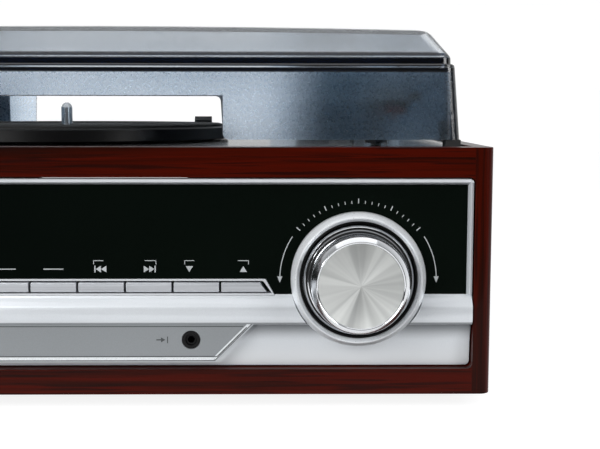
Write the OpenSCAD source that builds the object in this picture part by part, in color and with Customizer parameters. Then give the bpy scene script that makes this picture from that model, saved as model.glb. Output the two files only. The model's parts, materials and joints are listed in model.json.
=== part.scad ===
// Stereo music centre: wooden cabinet, radio and amplifier front, and a belt-driven record deck
// under a smoked lid.
// The modules work in the cabinet's frame: X across, Y from its front face to the rear, Z up from
// its underside.

/* [Cabinet] */
// Width over the two side boards
cab_w = 416; // [400:1:440]
// Height of the wooden cabinet without feet
cab_h = 125; // [122:1:135]
// Depth of the wooden cabinet
cab_d = 320; // [318:1:335]
// Thickness of the side, base and back boards
board_t = 9; // [8:0.5:10]
// Thickness of the front frame
front_t = 12; // [11:0.5:14]
// Rounding of the two upright front corners
corner_r = 5; // [2:0.5:7]
// Height of the wooden rail above the fascia
top_rail = 15; // [13:0.5:16]
// Height of the wooden rail below the fascia
bottom_rail = 13; // [11:0.5:13]
// Width of the wooden stile at each end of the fascia
stile = 9.3; // [9.3:0.1:12]
// Rounding of the corners of the fascia opening
opening_r = 3; // [1:0.5:4]
// Height of the rubber feet
foot_h = 8; // [5:1:15]
// Radius of a foot where it meets the floor
foot_r = 10; // [8:0.5:14]
// Distance of the foot centres from the cabinet's outside
foot_inset = 46; // [40:1:60]

/* [Fascia] */
// Gap between the fascia and the wooden opening
fascia_gap = 0.7; // [0.4:0.1:1.2]
// Width of the bevelled bright frame
bevel_w = 2.8; // [2:0.1:3.5]
// Height of the frame's ridge in front of the wood
ridge_out = 0.8; // [0.3:0.1:1.5]
// Depth of the black window behind the wood face
window_in = 1.5; // [1:0.1:2]
// Thickness of the black window
window_t = 2.5; // [2:0.1:2.5]
// Height of the window's lower edge
window_z = 51.2; // [50.5:0.1:52]
// Height of the top of the projecting band
band_top = 45; // [44.5:0.1:46]
// Height of the lower lip of the projecting band
band_low = 38.6; // [37.5:0.1:39]
// How far the band stands in front of the wood
band_out = 2.4; // [1.5:0.1:3]
// Depth of the cove under the band
cove_deep = 6.4; // [5:0.1:7]
// Distance of the lower sub-panel's upper corner from the cabinet's side
panel_side = 120; // [118:0.5:124]
// Width of the bright rim round the sub-panel
panel_rim = 2.1; // [1.5:0.1:2.5]
// Distance of the sub-panel's face in front of the wood
panel_out = 1.2; // [0.5:0.1:2]
// Distance of each front jack from the middle
jack_x = 56.75; // [50:0.25:62]
// Height of the front jacks
jack_z = 28.5; // [27.5:0.5:30]
// Radius of a front jack's collar
jack_r = 4.5; // [4:0.1:5]
// Radius of a jack's bore
jack_bore_r = 1.8; // [1.75:0.01:1.9]
// Depth of a jack's bore
jack_bore_l = 14; // [12:0.5:15]

/* [Buttons] */
// Distance of the button row's end from the cabinet's side
row_side = 112.8; // [112:0.2:116]
// Gap between neighbouring buttons
button_gap = 1.15; // [0.8:0.05:1.6]
// Height of a button's visible face
button_h = 4.8; // [4:0.1:5]
// Height of the middle of the button row
button_z = 54.9; // [54.6:0.1:55.2]
// How far a button stands in front of the window
button_out = 1.7; // [1.3:0.1:2.5]
// Travel of a button
button_travel = 1; // [0.5:0.1:1]
// Half height of the slot in the button surround
slot_half = 3.2; // [3.1:0.1:3.4]
// Width of the bright line round the slot
surround_w = 0.9; // [0.6:0.1:1]

/* [Volume control] */
// Distance of the volume control from the cabinet's side
vol_side = 67.4; // [64:0.2:70]
// Height of the volume control
vol_z = 59; // [57:0.5:61]
// Outer radius of the fixed ring
ring_r = 33.9; // [32:0.1:35]
// Inner radius of the fixed ring
ring_bore_r = 28.5; // [28.5:0.1:29]
// How far the ring stands in front of the wood
ring_out = 5.4; // [4:0.1:6]
// Radius of the knob's skirt
skirt_r = 27.1; // [26:0.1:27.5]
// Radius of the knob's body
knob_r = 24.3; // [23:0.1:25]
// Radius of the spun face
face_r = 20.3; // [18:0.1:22]
// How far the knob stands in front of the wood
knob_out = 22.5; // [18:0.5:26]
// Travel of the push switch behind the knob
push_travel = 1.2; // [0.5:0.1:1.2]
// Radius of the encoder's shaft
shaft_r = 3; // [2.5:0.1:3.5]

/* [Rear sockets] */
// How far the line sockets stand behind the cabinet
line_out = 9; // [7.5:0.5:11]
// Outer radius of the line sockets
line_r = 4.15; // [4.1:0.05:4.2]

/* [Record deck] */
// Depth of the deck's surface under the cabinet's top edge
deck_in = 1; // [0.5:0.1:2]
// Thickness of the deck plate
deck_t = 3; // [2.5:0.5:4]
// Sideways place of the spindle
spindle_x = -36; // [-40:1:-34]
// Distance of the spindle behind the front face
spindle_y = 160; // [156:1:164]
// Radius of the spindle
spindle_r = 3.55; // [3.5:0.01:3.6]
// Height of the spindle above the mat
spindle_up = 13; // [8:1:16]
// Radius of the platter
platter_r = 103; // [98:1:106]
// Height of the platter's rim
rim_h = 7.7; // [7:0.1:8.5]
// Running gap between deck and platter
platter_gap = 1; // [0.8:0.1:2]
// Thickness of the rubber mat
mat_t = 1.8; // [1:0.1:2.5]
// Radius of the drum under the platter that the belt drives
drum_r = 74; // [65:1:80]
// Radius of the motor pulley where the belt runs
pulley_r = 5.5; // [4:0.5:7]
// Distance of the motor's shaft from the spindle
motor_reach = 86; // [84:1:90]
// Direction of the motor from the spindle
motor_dir = 215; // [205:5:235]
// Thickness of the belt
belt_t = 0.8; // [0.6:0.1:1]
// Width of the belt
belt_w = 4; // [3:0.5:4]

/* [Tonearm] */
// Distance of the tonearm's pivot from the cabinet's side
pivot_side = 58; // [57:0.5:59]
// Distance of the tonearm's pivot in front of the cabinet's back
pivot_rear = 50; // [49:0.5:51]
// Height of the arm's tilt axis above the deck
arm_up = 27.5; // [27:0.5:29]
// Distance of the parked stylus behind the front face
stylus_front = 52.4; // [51:0.2:56]
// Distance from the stylus back to the arm's rest
rest_back = 68; // [64:1:74]
// Angle of the arm at rest, outward from straight ahead
arm_rest_angle = 3.4; // [2.5:0.1:4]
// Radius of the arm tube
tube_r = 3; // [2.5:0.1:3.5]
// Radius of the counterweight
weight_r = 9; // [8:0.5:10]
// Radius of the arm's round base
base_r = 22; // [20:0.5:23]

/* [Lid] */
// Height of the lid's lower edge above the cabinet
lid_gap = 2.6; // [2:0.1:3.5]
// Thickness of the lid
lid_t = 3.2; // [2.5:0.1:3.5]
// Distance of the lid's front wall behind the front face
lid_front = 37; // [34:0.5:40]
// Distance of the lid's rear wall in front of the cabinet's back
lid_rear = 4; // [3:0.5:5]
// Distance of the lid's sides from the cabinet's outside
lid_side = 11; // [10:0.5:13]
// Height of the ledge above the cabinet
ledge_z = 42.6; // [41:0.1:44]
// Lean of the lid's walls
lid_lean = 4; // [3:0.1:5]
// Width of the ledge between the walls and the raised top
ledge_w = 1.8; // [1.5:0.1:2.5]
// Height of the foot of the sloping facet above the cabinet
facet_low = 47.4; // [46.5:0.1:48]
// Height of the top of the sloping facet above the cabinet
facet_top = 58.6; // [57:0.1:60]
// Lean of the sloping facet
facet_lean = 37.2; // [34:0.5:40]
// Rise of the crowned top from front to middle
crown = 1; // [0.5:0.1:2]
// Rise of the bowed top from side to middle
bow = 2; // [0:0.1:3]
// Rounding of the lid's upright corners
lid_corner_r = 6; // [5:0.5:9]
// Half width of the record notch
notch_half = 107; // [103:1:108]
// Height of the record notch above the cabinet
notch_top = 25.4; // [22:0.2:28]
// Half width of the cut-out in the lid's rear wall
rear_notch_half = 92; // [80:1:94]
// Height of the rear cut-out above the cabinet
rear_notch_top = 30; // [26:0.5:32]
// Rounding of the notch's upper corners
notch_r = 2.8; // [2:0.1:4]
// Flare at the notch's lower corners
notch_flare = 3.5; // [2:0.1:5]
// Distance of each hinge from the middle
hinge_x = 130; // [110:1:150]
// Length of a hinge's knuckles together
hinge_l = 36; // [30:1:40]
// Radius of a hinge knuckle
knuckle_r = 3.2; // [3:0.1:3.6]
// Radius of the hinge pin
hinge_pin_r = 1.25; // [1:0.05:1.5]
// Thickness of the hinge leaves
leaf_t = 1.2; // [1:0.1:1.5]

/* [Speakers] */
// Radius of the speaker opening in each side board
speaker_r = 38; // [34:1:38]
// Distance of the speakers behind the front face
speaker_y = 95; // [90:1:120]
// Height of the speakers
speaker_z = 62; // [60:0.5:64]
// Width of the grille's rim
grille_rim = 6; // [4:0.5:8]
// Distance from one grille bar to the next
bar_pitch = 6.4; // [5:0.2:8]

/* [Hidden] */
$fn = 64;

// General clearances
fit = 0.05;            // running fit of shafts and pins
loose = 0.3;           // gap beside pieces that move past each other
seat = 0.2;            // gap round a fixed piece in its cut-out

// Places that several pieces share
half_w = cab_w / 2;
in_half = half_w - board_t;
back_y = cab_d - board_t;
open_half = half_w - stile;
open_low = bottom_rail;
open_top = cab_h - top_rail;
fascia_half = open_half - fascia_gap;
fascia_low = open_low + fascia_gap;
fascia_top = open_top - fascia_gap;
fascia_back = front_t - 3;
win_half = fascia_half - bevel_w;
win_top = fascia_top - bevel_w;
win_back = window_in + window_t;
sheet_t = 2;
sheet_back = win_back + sheet_t;
deck_z = cab_h - deck_in;
deck_under = deck_z - deck_t;
lid_z = cab_h + lid_gap;
knuckle_gap = 0.6;
hinge_y = cab_d + leaf_t + knuckle_r - 0.6;
hinge_z = cab_h - 1.2;
rear_out = max(hinge_y + knuckle_r - cab_d, line_out);
front_y = -(cab_d + rear_out - knob_out) / 2;
vol_x = half_w - vol_side;
button_pitch = (half_w - row_side) / 4;
panel_half = half_w - panel_side;
pivot_x = half_w - pivot_side;
pivot_y = cab_d - pivot_rear;

// Moves the working frame to the part's own origin, under the middle of the whole object
module place() translate([0, front_y, foot_h]) children();

// Outline of a centred rectangle with round corners
function arc(c, r, a, b, n = 6) =
  [for (i = [0:n]) c + r * [cos(a + (b - a) * i / n), sin(a + (b - a) * i / n)]];
function round_rect(w, h, r) = concat(
  arc([w / 2 - r, h / 2 - r], r, 0, 90), arc([r - w / 2, h / 2 - r], r, 90, 180),
  arc([r - w / 2, r - h / 2], r, 180, 270), arc([w / 2 - r, r - h / 2], r, 270, 360));

// Turns an outline about the upright axis at a place on the deck
module turned_at(x, y) place() translate([x, y, 0]) rotate_extrude() children();
// Places a piece at a spot of the deck, in line with the arm on its rest
module with_arm(spot) place() translate([spot.x, spot.y, 0]) rotate(arm_rest_angle) children();
// Extrudes an outline in X and Z from depth y0 to depth y1
module slab_y(y0, y1) translate([0, y1, 0]) rotate([90, 0, 0]) linear_extrude(y1 - y0) children();
// Extrudes an outline in Y and Z from x0 to x1
module along_x(x0, x1) translate([x0, 0, 0]) rotate([90, 0, 90]) linear_extrude(x1 - x0) children();
// Round bar or bore along Y
module rod_y(x, z, y0, y1, r) translate([x, y1, z]) rotate([90, 0, 0]) cylinder(h = y1 - y0, r = r);
// Round bar or bore along X
module rod_x(y, z, x0, x1, r) translate([x0, y, z]) rotate([0, 90, 0]) cylinder(h = x1 - x0, r = r);
// Block between two corners
module block(a, b) translate(a) cube(b - a);
// Turned piece whose axis runs forward along -Y, from a profile of radius and distance forward
module turned_y(x, z) translate([x, 0, z]) rotate([90, 0, 0]) rotate_extrude() children();
// Both sides of a symmetric pair
module both() for (s = [-1, 1]) scale([1, 1, 1]) mirror([s < 0 ? 1 : 0, 0, 0]) children();

/* Wooden cabinet */
foot_spots = [for (x = [-1, 1], y = [0, 1])
  [x * (half_w - foot_inset), y == 0 ? foot_inset : cab_d - foot_inset]];
screw_r = 1.6;

module front_frame() color([0.32, 0.05, 0.03]) place() difference() {
  linear_extrude(cab_h) polygon(concat(
    [[half_w, front_t]], [[-half_w, front_t]],
    arc([-half_w + corner_r, corner_r], corner_r, 180, 270),
    arc([half_w - corner_r, corner_r], corner_r, 270, 360)));
  translate([0, 0, (open_low + open_top) / 2])
    slab_y(-1, front_t + 1) polygon(round_rect(2 * open_half, open_top - open_low, opening_r));
}

module side_board() difference() {
  block([in_half, front_t, 0], [half_w, cab_d, cab_h]);
  rod_x(speaker_y, speaker_z, in_half - 1, half_w + 1, speaker_r);
}
module left_side_board() color([0.32, 0.05, 0.03]) place() mirror([1, 0, 0]) side_board();
module right_side_board() color([0.32, 0.05, 0.03]) place() side_board();

base_vents = 7;
vent_pitch = 12;
module base_board() color([0.3, 0.2, 0.14]) place() difference() {
  block([-in_half, front_t, 0], [in_half, back_y, board_t]);
  for (i = [0:base_vents - 1])
    block([trafo_x - 25, trafo_y - 30 + i * vent_pitch - 36, -1],
      [trafo_x + 25, trafo_y - 26 + i * vent_pitch - 36, board_t + 1]);
  for (p = foot_spots) translate([p.x, p.y, -1]) cylinder(h = board_t + 2, r = screw_r + fit, $fn = 24);
}

panel_x = in_half - 104;
panel_half_w = 70;
panel_z = cab_h / 2 - 0.5;
panel_half_h = 28;
module back_board() color([0.1, 0.08, 0.07]) place() difference() {
  block([-in_half, back_y, 0], [in_half, cab_d, cab_h]);
  block([panel_x - panel_half_w + 8, back_y - 1, panel_z - panel_half_h + 8],
    [panel_x + panel_half_w - 8, cab_d + 1, panel_z + panel_half_h - 8]);
  block([trafo_x - inlet_half - seat, back_y - 1, inlet_z - inlet_up - seat],
    [trafo_x + inlet_half + seat, cab_d + 1, inlet_z + inlet_up + seat]);
  for (i = [0:vent_rows - 1])
    block([-90, back_y - 1, cab_h - 37 + i * 7], [30, cab_d + 1, cab_h - 34 + i * 7]);
  for (p = panel_screws) rod_y(p.x, p.y, back_y - 1, cab_d + 1, screw_r + fit);
  for (p = hinge_screws) rod_y(p.x, p.y, back_y - 1, cab_d + 1, screw_r + fit);
}
vent_rows = 4;

module rubber_feet() color([0.06, 0.06, 0.06]) place() for (p = foot_spots)
  translate([p.x, p.y, -foot_h]) rotate_extrude() polygon([
    [screw_r + 2.4, 0], [foot_r - 1, 0], [foot_r, 1], [foot_r + 1.5, foot_h],
    [screw_r + fit, foot_h], [screw_r + fit, foot_h / 2], [screw_r + 2.4, foot_h / 2]]);

// Screw with a domed head, shank pointing up the local Z axis
module screw(l) rotate_extrude($fn = 24) polygon([
  [0, -1.6], [screw_r + 0.6, -1.4], [screw_r + 1.4, -0.6], [screw_r + 1.4, 0], [screw_r, 0],
  [screw_r, l - 1], [0, l]]);
module screws() color([0.75, 0.76, 0.78]) place() {
  for (p = foot_spots) translate([p.x, p.y, -foot_h / 2]) screw(foot_h / 2 + board_t - 1);
  for (p = panel_screws) translate([p.x, cab_d + panel_t, p.y]) rotate([90, 0, 0]) screw(board_t);
  for (p = hinge_screws) translate([p.x, cab_d + leaf_t, p.y]) rotate([90, 0, 0]) screw(board_t - 1);
  for (p = motor_screws) translate([p.x, p.y, deck_z]) rotate([180, 0, 0]) screw(deck_t + 6);
}

/* Fascia and window */
cove_low = fascia_low + 0.8;
cove_top = band_low - 3.4;
cove_points = 9;
lip_deep = 3;
// Point of the cove, which steepens under the lip and stands upright at its foot
function cove(t) = [cove_deep - (cove_deep - lip_deep) * pow(1 - t, 3),
  cove_top - (cove_top - cove_low) * t];
module lower_profile() polygon(concat(
  [[fascia_back, window_z], [window_in, window_z], [window_in - 0.6, window_z - 1.8],
   [-band_out + 0.4, band_top + 0.9], [-band_out, band_top], [-band_out, band_low],
   [-band_out + 0.9, band_low - 2.1], [0.6, band_low - 3]],
  [for (i = [0:cove_points - 1]) cove(i / (cove_points - 1))],
  [[cove_deep, fascia_low], [fascia_back, fascia_low]]));

// Trapezoid outline of the sub-panel, grown by an amount on its slanted ends and lower edge
panel_low = cove_low + 3.7;
panel_top = band_low - 1.4;
function panel_outline(grow) = let (run = panel_top - panel_low + grow, end = panel_half + 2 * grow)
  [[-end, panel_top], [-end + run, panel_low - grow], [end - run, panel_low - grow], [end, panel_top]];

// Bevelled rail of the bright frame: outer edge at zero, inner edge at bevel_w, ridge in front
module bevel_section(d) polygon([[0, window_in - 0.8], [bevel_w * 0.45, -ridge_out],
  [bevel_w * 0.6, -ridge_out], [bevel_w, window_in], [bevel_w, d], [0, d]]);

jacks = [-jack_x, jack_x];
board_posts = [for (x = [96 - half_w, vol_x - 40.6], z = [fascia_low + 6.3, win_top - 5.5]) [x, z]];
lcd_half = 56;
lcd_low = window_z + 13.8;
lcd_top = win_top - 4.5;
module fascia_solid() {
  along_x(-fascia_half, fascia_half) lower_profile();
  translate([0, 0, window_z]) both() translate([fascia_half, 0, -0.01]) mirror([1, 0, 0])
    linear_extrude(fascia_top - window_z + 0.01) bevel_section(fascia_back);
  translate([0, 0, fascia_top]) rotate([0, 90, 0]) translate([0, 0, -fascia_half])
    linear_extrude(2 * fascia_half) bevel_section(fascia_back);
  block([-fascia_half + 1, win_back, window_z - 1], [fascia_half - 1, sheet_back, fascia_top - 1]);
  for (p = board_posts)
    rod_y(p.x, p.y, p.y < window_z ? fascia_back - 1 : sheet_back - 1, pcb_y, 3, $fn = 24);
  sub_panel();
}
module fascia() color([0.72, 0.73, 0.75]) place() difference() {
  intersection() {
    fascia_solid();
    translate([0, 0, (fascia_low + fascia_top) / 2]) slab_y(-band_out - 1, pcb_y)
      polygon(round_rect(2 * fascia_half, fascia_top - fascia_low, opening_r - fascia_gap));
  }
  slab_y(win_back - 1, sheet_back + 1)
    polygon([[-lcd_half - seat, lcd_low - seat], [lcd_half + seat, lcd_low - seat],
      [lcd_half + seat, lcd_top + seat], [-lcd_half - seat, lcd_top + seat]]);
  slab_y(-band_out - 1, fascia_back + 1) polygon(slot_outline(surround_w + seat));
  rod_y(vol_x, vol_z, -band_out - 1, fascia_back + 1, ring_r + seat);
  for (x = jacks) rod_y(x, jack_z, -band_out - 1, fascia_back + 1, jack_r + seat);
}

// Raised sub-panel with a bevelled rim, kept under the band's lip by a groove
module sub_panel() {
  slab_y(-panel_out, fascia_back - 1) polygon(panel_outline(0));
  for (i = [1:3]) slab_y(-panel_out + i * 1.1, fascia_back - 1)
    polygon(panel_outline(panel_rim * i / 3));
}

// Slot of the button row: its ends lean outward towards the bottom
row_half = 4 * button_pitch - button_gap / 2;
row_lean = 3.4;
slot_end = row_half - 1.8;
function slot_outline(grow) = [
  [-slot_end - grow * 1.4, button_z + slot_half + grow],
  [-slot_end - row_lean - 1.2 - grow * 1.4, button_z - slot_half - grow],
  [slot_end + row_lean + 1.2 + grow * 1.4, button_z - slot_half - grow],
  [slot_end + grow * 1.4, button_z + slot_half + grow]];

module display_window() color([0.03, 0.045, 0.04]) place() difference() {
  block([-win_half + seat, window_in, window_z], [win_half - seat, win_back, win_top - seat]);
  slab_y(window_in - 1, win_back + 1) polygon(slot_outline(surround_w + seat));
  rod_y(vol_x, vol_z, window_in - 1, win_back + 1, ring_r + seat);
}

surround_back = sheet_back + 2;
module button_surround() color([0.7, 0.71, 0.73]) place() difference() {
  slab_y(window_in - 0.5, surround_back) polygon(slot_outline(surround_w));
  slab_y(window_in - 2, surround_back + 1) polygon(slot_outline(0));
}

module lcd_module() color([0.08, 0.1, 0.09]) place() {
  block([-lcd_half, win_back + seat, lcd_low], [lcd_half, sheet_back + 4, lcd_top]);
  for (x = [-1, 1], z = [lcd_low + 5, lcd_top - 5])
    rod_y(x * (lcd_half - 8), z, sheet_back + 4, pcb_y, 2, $fn = 16);
}

/* Buttons */
cap_half = button_h / 2;
guide_half = slot_half - loose;
button_back = surround_back + 1.2;
// Outline of button k, from 0 at the left to 7 at the right, at half height h
function button_outline(k, h) =
  let (x0 = (k - 4) * button_pitch + button_gap / 2, x1 = x0 + button_pitch - button_gap)
  [[x0 + (k == 0 ? row_lean : 0), button_z + h], [x0, button_z - h],
   [x1, button_z - h], [x1 - (k == 7 ? row_lean : 0), button_z + h]];
module button(k) color([0.78, 0.79, 0.8]) place() {
  slab_y(window_in - button_out + 0.5, window_in + 3) polygon(button_outline(k, cap_half));
  slab_y(window_in - button_out, window_in - button_out + 0.5) polygon(button_outline(k,
    cap_half - 0.5));
  slab_y(window_in + 3, button_back) polygon(button_outline(k, guide_half));
}
module button_function() button(0);
module button_band() button(1);
module button_memory() button(2);
module button_stereo() button(3);
module button_tuning_down() button(4);
module button_tuning_up() button(5);
module button_preset_down() button(6);
module button_preset_up() button(7);

pcb_t = 1.6;
switch_h = 4;
stem_gap = 0.1;
switch_y = button_back + button_travel + stem_gap;
pcb_y = switch_y + 1 + switch_h;
module key_switches() color([0.12, 0.12, 0.12]) place() for (k = [0:7])
  let (x = (k - 3.5) * button_pitch) {
    block([x - 3, switch_y + 1, button_z - 3], [x + 3, pcb_y, button_z + 3]);
    rod_y(x, button_z, switch_y, switch_y + 1.01, 1.7, $fn = 24);
  }
module control_board() color([0.1, 0.3, 0.16]) place() difference() {
  block([90 - half_w, pcb_y, board_t + 4], [vol_x + 30, pcb_y + pcb_t, lcd_top + 4]);
  block([vol_x - coder_half - seat, pcb_y - 1, vol_z - coder_half - seat],
    [vol_x + coder_half + seat, pcb_y + pcb_t + 1, vol_z + coder_half + seat]);
}

// Collar, bore and body of the two front sockets
jack_front = -panel_out - 0.2;
jack_mouth = 1.2;
module front_jacks() color([0.05, 0.05, 0.05]) place() for (x = jacks) difference() {
  union() {
    rod_y(x, jack_z, jack_front, fascia_back + 1, jack_r);
    block([x - 4.5, fascia_back, jack_z - 4.5], [x + 4.5, pcb_y, jack_z + 4.5]);
  }
  rod_y(x, jack_z, jack_front - 1, jack_front + jack_bore_l, jack_bore_r);
  turned_y(x, jack_z) polygon([[0, -jack_front + 0.01], [2.9, -jack_front + 0.01],
    [2.4, -jack_front - jack_mouth], [0, -jack_front - jack_mouth]]);
}

/* Volume control */
module volume_ring() color([0.7, 0.71, 0.72]) place() turned_y(vol_x, vol_z) polygon([
  [ring_bore_r, -sheet_back], [ring_r, -sheet_back], [ring_r, 1], [ring_r - 0.5, 2.4],
  [ring_r - 1.9, ring_out - 0.5], [ring_r - 2.7, ring_out], [ring_r - 3.5, ring_out - 0.2],
  [ring_bore_r + 0.4, 2.8], [ring_bore_r, 2.2]]);

bore_top = knob_out - 6;
module volume_knob() color([0.8, 0.81, 0.83]) place() turned_y(vol_x, vol_z) polygon([
  [shaft_r + fit, -0.5], [shaft_r + fit, bore_top], [0, bore_top], [0, knob_out - 0.6],
  [face_r - 1.2, knob_out - 0.6], [face_r - 0.4, knob_out], [face_r, knob_out],
  [knob_r - 1, knob_out - 2.2], [knob_r - 0.3, knob_out - 3.2], [knob_r, knob_out - 5],
  [knob_r, 6.6], [knob_r - 0.9, 6.2], [knob_r - 0.9, 5.2], [knob_r + 0.9, 5],
  [skirt_r - 0.5, 4], [skirt_r, 3.2], [skirt_r, 1], [skirt_r - 2, 1], [skirt_r - 2, 3],
  [shaft_r + 4, 3], [shaft_r + 4, -0.5]]);

coder_half = 6.5;
flange_t = 2.5;
coder_y = 11;
shaft_end = coder_y + 8;
module encoder_shaft() color([0.6, 0.6, 0.62]) place()
  rod_y(vol_x, vol_z, -bore_top + seat, shaft_end, shaft_r);
module encoder_plunger() color([0.15, 0.15, 0.16]) place()
  rod_y(vol_x, vol_z, shaft_end + fit, shaft_end + 2.5, coder_half - 2);
module encoder_body() color([0.55, 0.56, 0.58]) place() difference() {
  union() {
    block([vol_x - coder_half, coder_y, vol_z - coder_half],
      [vol_x + coder_half, shaft_end + 6, vol_z + coder_half]);
    turned_y(vol_x, vol_z) polygon([
      [0, -coder_y - 1], [12, -coder_y - 1], [12, -sheet_back - flange_t], [ring_r - 1,
        -sheet_back - flange_t],
      [ring_r - 1, -sheet_back], [ring_bore_r - loose, -sheet_back], [ring_bore_r - loose, -win_back],
      [shaft_r + 1.6, -win_back], [shaft_r + 1.6, -3], [0, -3]]);
  }
  rod_y(vol_x, vol_z, 2, shaft_end - 1, shaft_r + fit);
  rod_y(vol_x, vol_z, shaft_end - 1.01, shaft_end + 2.5 + push_travel + loose, coder_half - 2 + loose);
}

/* Speakers */
grille_out = 1.6;
module grille() difference() {
  union() {
    rod_x(speaker_y, speaker_z, half_w, half_w + grille_out, speaker_r + grille_rim);
    rod_x(speaker_y, speaker_z, half_w - 3, half_w + 0.01, speaker_r - seat);
  }
  intersection() {
    rod_x(speaker_y, speaker_z, half_w - 4, half_w + grille_out + 1, speaker_r - 3);
    for (z = [-5:5]) block([half_w - 4, speaker_y - speaker_r,
      speaker_z + z * bar_pitch - bar_pitch * 0.32],
      [half_w + 5, speaker_y + speaker_r, speaker_z + z * bar_pitch + bar_pitch * 0.32]);
  }
}
module speaker_grilles() color([0.08, 0.08, 0.08]) place() both() grille();

basket_r = speaker_r + 5;
magnet_r = speaker_r - 12;
// Turned piece about the right-hand speaker's axis, from a profile of radius and distance inward
module turned_x() translate([in_half, speaker_y, speaker_z]) rotate([0, -90,
  0]) rotate_extrude() children();
module speakers() color([0.2, 0.2, 0.21]) place() both() turned_x() polygon([
  [speaker_r - 5, 0], [basket_r, 0], [basket_r, 2], [speaker_r - 2, 2.5], [magnet_r + 2, 18],
  [magnet_r + 2, 20], [magnet_r + 4, 20], [magnet_r + 4, 34], [0, 34], [0, 22], [magnet_r - 12, 22],
  [magnet_r, 18.5], [speaker_r - 5, 2.2]]);
module speaker_cones() color([0.12, 0.12, 0.12]) place() both() turned_x() polygon([
  [speaker_r - 5 - fit, 0.4], [speaker_r - 7, -1], [speaker_r - 10, 0.4], [11, 13], [8, 9.5],
  [0, 7], [0, 8.4], [7.4, 10.8], [10.4, 15], [speaker_r - 10, 1.6], [speaker_r - 7, 0.2],
  [speaker_r - 5 - fit, 1.6]]);

/* Electronics on the base board */
trafo_x = 79 - in_half;
trafo_y = back_y - 46;
board_x0 = -60;
board_x1 = 80;
board_y1 = back_y - 21;
board_y0 = board_y1 - 100;
standoff_h = 8;
module main_board() color([0.12, 0.32, 0.18]) place() {
  block([board_x0, board_y0, board_t + standoff_h], [board_x1, board_y1, board_t + standoff_h + pcb_t]);
  for (x = [board_x0 + 6, board_x1 - 6], y = [board_y0 + 6, board_y1 - 6])
    translate([x, y, board_t]) cylinder(h = standoff_h, r = 3, $fn = 24);
  for (i = [0:3]) translate([board_x0 + 20 + i * 14, board_y0 + 22, board_t + standoff_h + pcb_t])
    cylinder(h = 20, r = 5.5);
  block([board_x0 + 15, board_y0 + 55, board_t + standoff_h + pcb_t],
    [board_x0 + 45, board_y0 + 70, board_t + standoff_h + pcb_t + 3]);
}
fin_count = 9;
module heat_sink() color([0.25, 0.25, 0.27]) place() {
  block([board_x1 - 50, board_y0 + 40, board_t + standoff_h + pcb_t],
    [board_x1 - 10, board_y0 + 44, board_t + standoff_h + 34]);
  for (i = [0:fin_count - 1]) block([board_x1 - 50 + i * 4.7, board_y0 + 43.9,
    board_t + standoff_h + pcb_t],
    [board_x1 - 48.5 + i * 4.7, board_y0 + 60, board_t + standoff_h + 34]);
}
module power_transformer() color([0.42, 0.36, 0.3]) place() {
  block([trafo_x - 28, trafo_y - 22, board_t], [trafo_x + 28, trafo_y + 22, board_t + 2]);
  block([trafo_x - 21, trafo_y - 12, board_t + 2], [trafo_x + 21, trafo_y + 12, board_t + 44]);
  difference() {
    block([trafo_x - 13, trafo_y - 20, board_t + 9], [trafo_x + 13, trafo_y + 20, board_t + 37]);
    block([trafo_x - 30, trafo_y - 11.9, board_t], [trafo_x + 30, trafo_y + 11.9, board_t + 50]);
  }
}

/* Rear connections */
panel_t = 1.6;
panel_screws = [for (x = [-1, 1], z = [-1, 1])
  [panel_x + x * (panel_half_w - 4), panel_z + z * (panel_half_h - 4)]];
line_spots = [[panel_x - 30, panel_z - 8], [panel_x - 30, panel_z + 8]];
aerial_x = panel_x + 30;
shell_start = panel_t + 0.4;
inlet_z = 45;
inlet_half = 13;
inlet_up = 9;
module rear_panel() color([0.07, 0.07, 0.07]) place() difference() {
  translate([panel_x, 0, panel_z])
    slab_y(cab_d, cab_d + panel_t) polygon(round_rect(2 * panel_half_w, 2 * panel_half_h, 3));
  for (p = line_spots) rod_y(p.x, p.y, cab_d - 1, cab_d + panel_t + 1, line_r + 0.15);
  rod_y(aerial_x, panel_z, cab_d - 1, cab_d + panel_t + 1, line_r + 0.15);
  for (p = panel_screws) rod_y(p.x, p.y, cab_d - 1, cab_d + panel_t + 1, screw_r + fit);
}
module line_out_jacks() color([0.8, 0.78, 0.7]) place() {
  for (p = concat(line_spots, [[aerial_x, panel_z]])) difference() {
    union() {
      rod_y(p.x, p.y, cab_d - 6, cab_d + shell_start + 0.01, line_r - 0.3);
      rod_y(p.x, p.y, cab_d + shell_start, cab_d + line_out, line_r);
    }
    rod_y(p.x, p.y, cab_d - 3, cab_d + line_out + 1, 1.6);
  }
  block([panel_x - 38, cab_d - 14, panel_z - 15], [panel_x - 22, cab_d - 5.99, panel_z + 15]);
  block([aerial_x - 8, cab_d - 14, panel_z - 8], [aerial_x + 8, cab_d - 5.99, panel_z + 8]);
  block([panel_x - 60, cab_d - 15.6, panel_z - 18], [panel_x + 60, cab_d - 14, panel_z + 18]);
  block([panel_x - 60, cab_d - 14, panel_z + 14], [panel_x - 50, cab_d, panel_z + 18]);
  block([panel_x + 50, cab_d - 14, panel_z + 14], [panel_x + 60, cab_d, panel_z + 18]);
}
module mains_inlet() color([0.06, 0.06, 0.06]) place() difference() {
  union() {
    block([trafo_x - inlet_half - 2.5, cab_d, inlet_z - inlet_up - 2.5],
      [trafo_x + inlet_half + 2.5, cab_d + 1.6, inlet_z + inlet_up + 2.5]);
    block([trafo_x - inlet_half, cab_d - 18, inlet_z - inlet_up], [trafo_x + inlet_half, cab_d,
      inlet_z + inlet_up]);
  }
  for (x = [-3.6, 3.6]) rod_y(trafo_x + x, inlet_z, cab_d - 12, cab_d + 3, 4);
  block([trafo_x - 3.6, cab_d - 12, inlet_z - 2.5], [trafo_x + 3.6, cab_d + 3, inlet_z + 2.5]);
}

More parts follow.
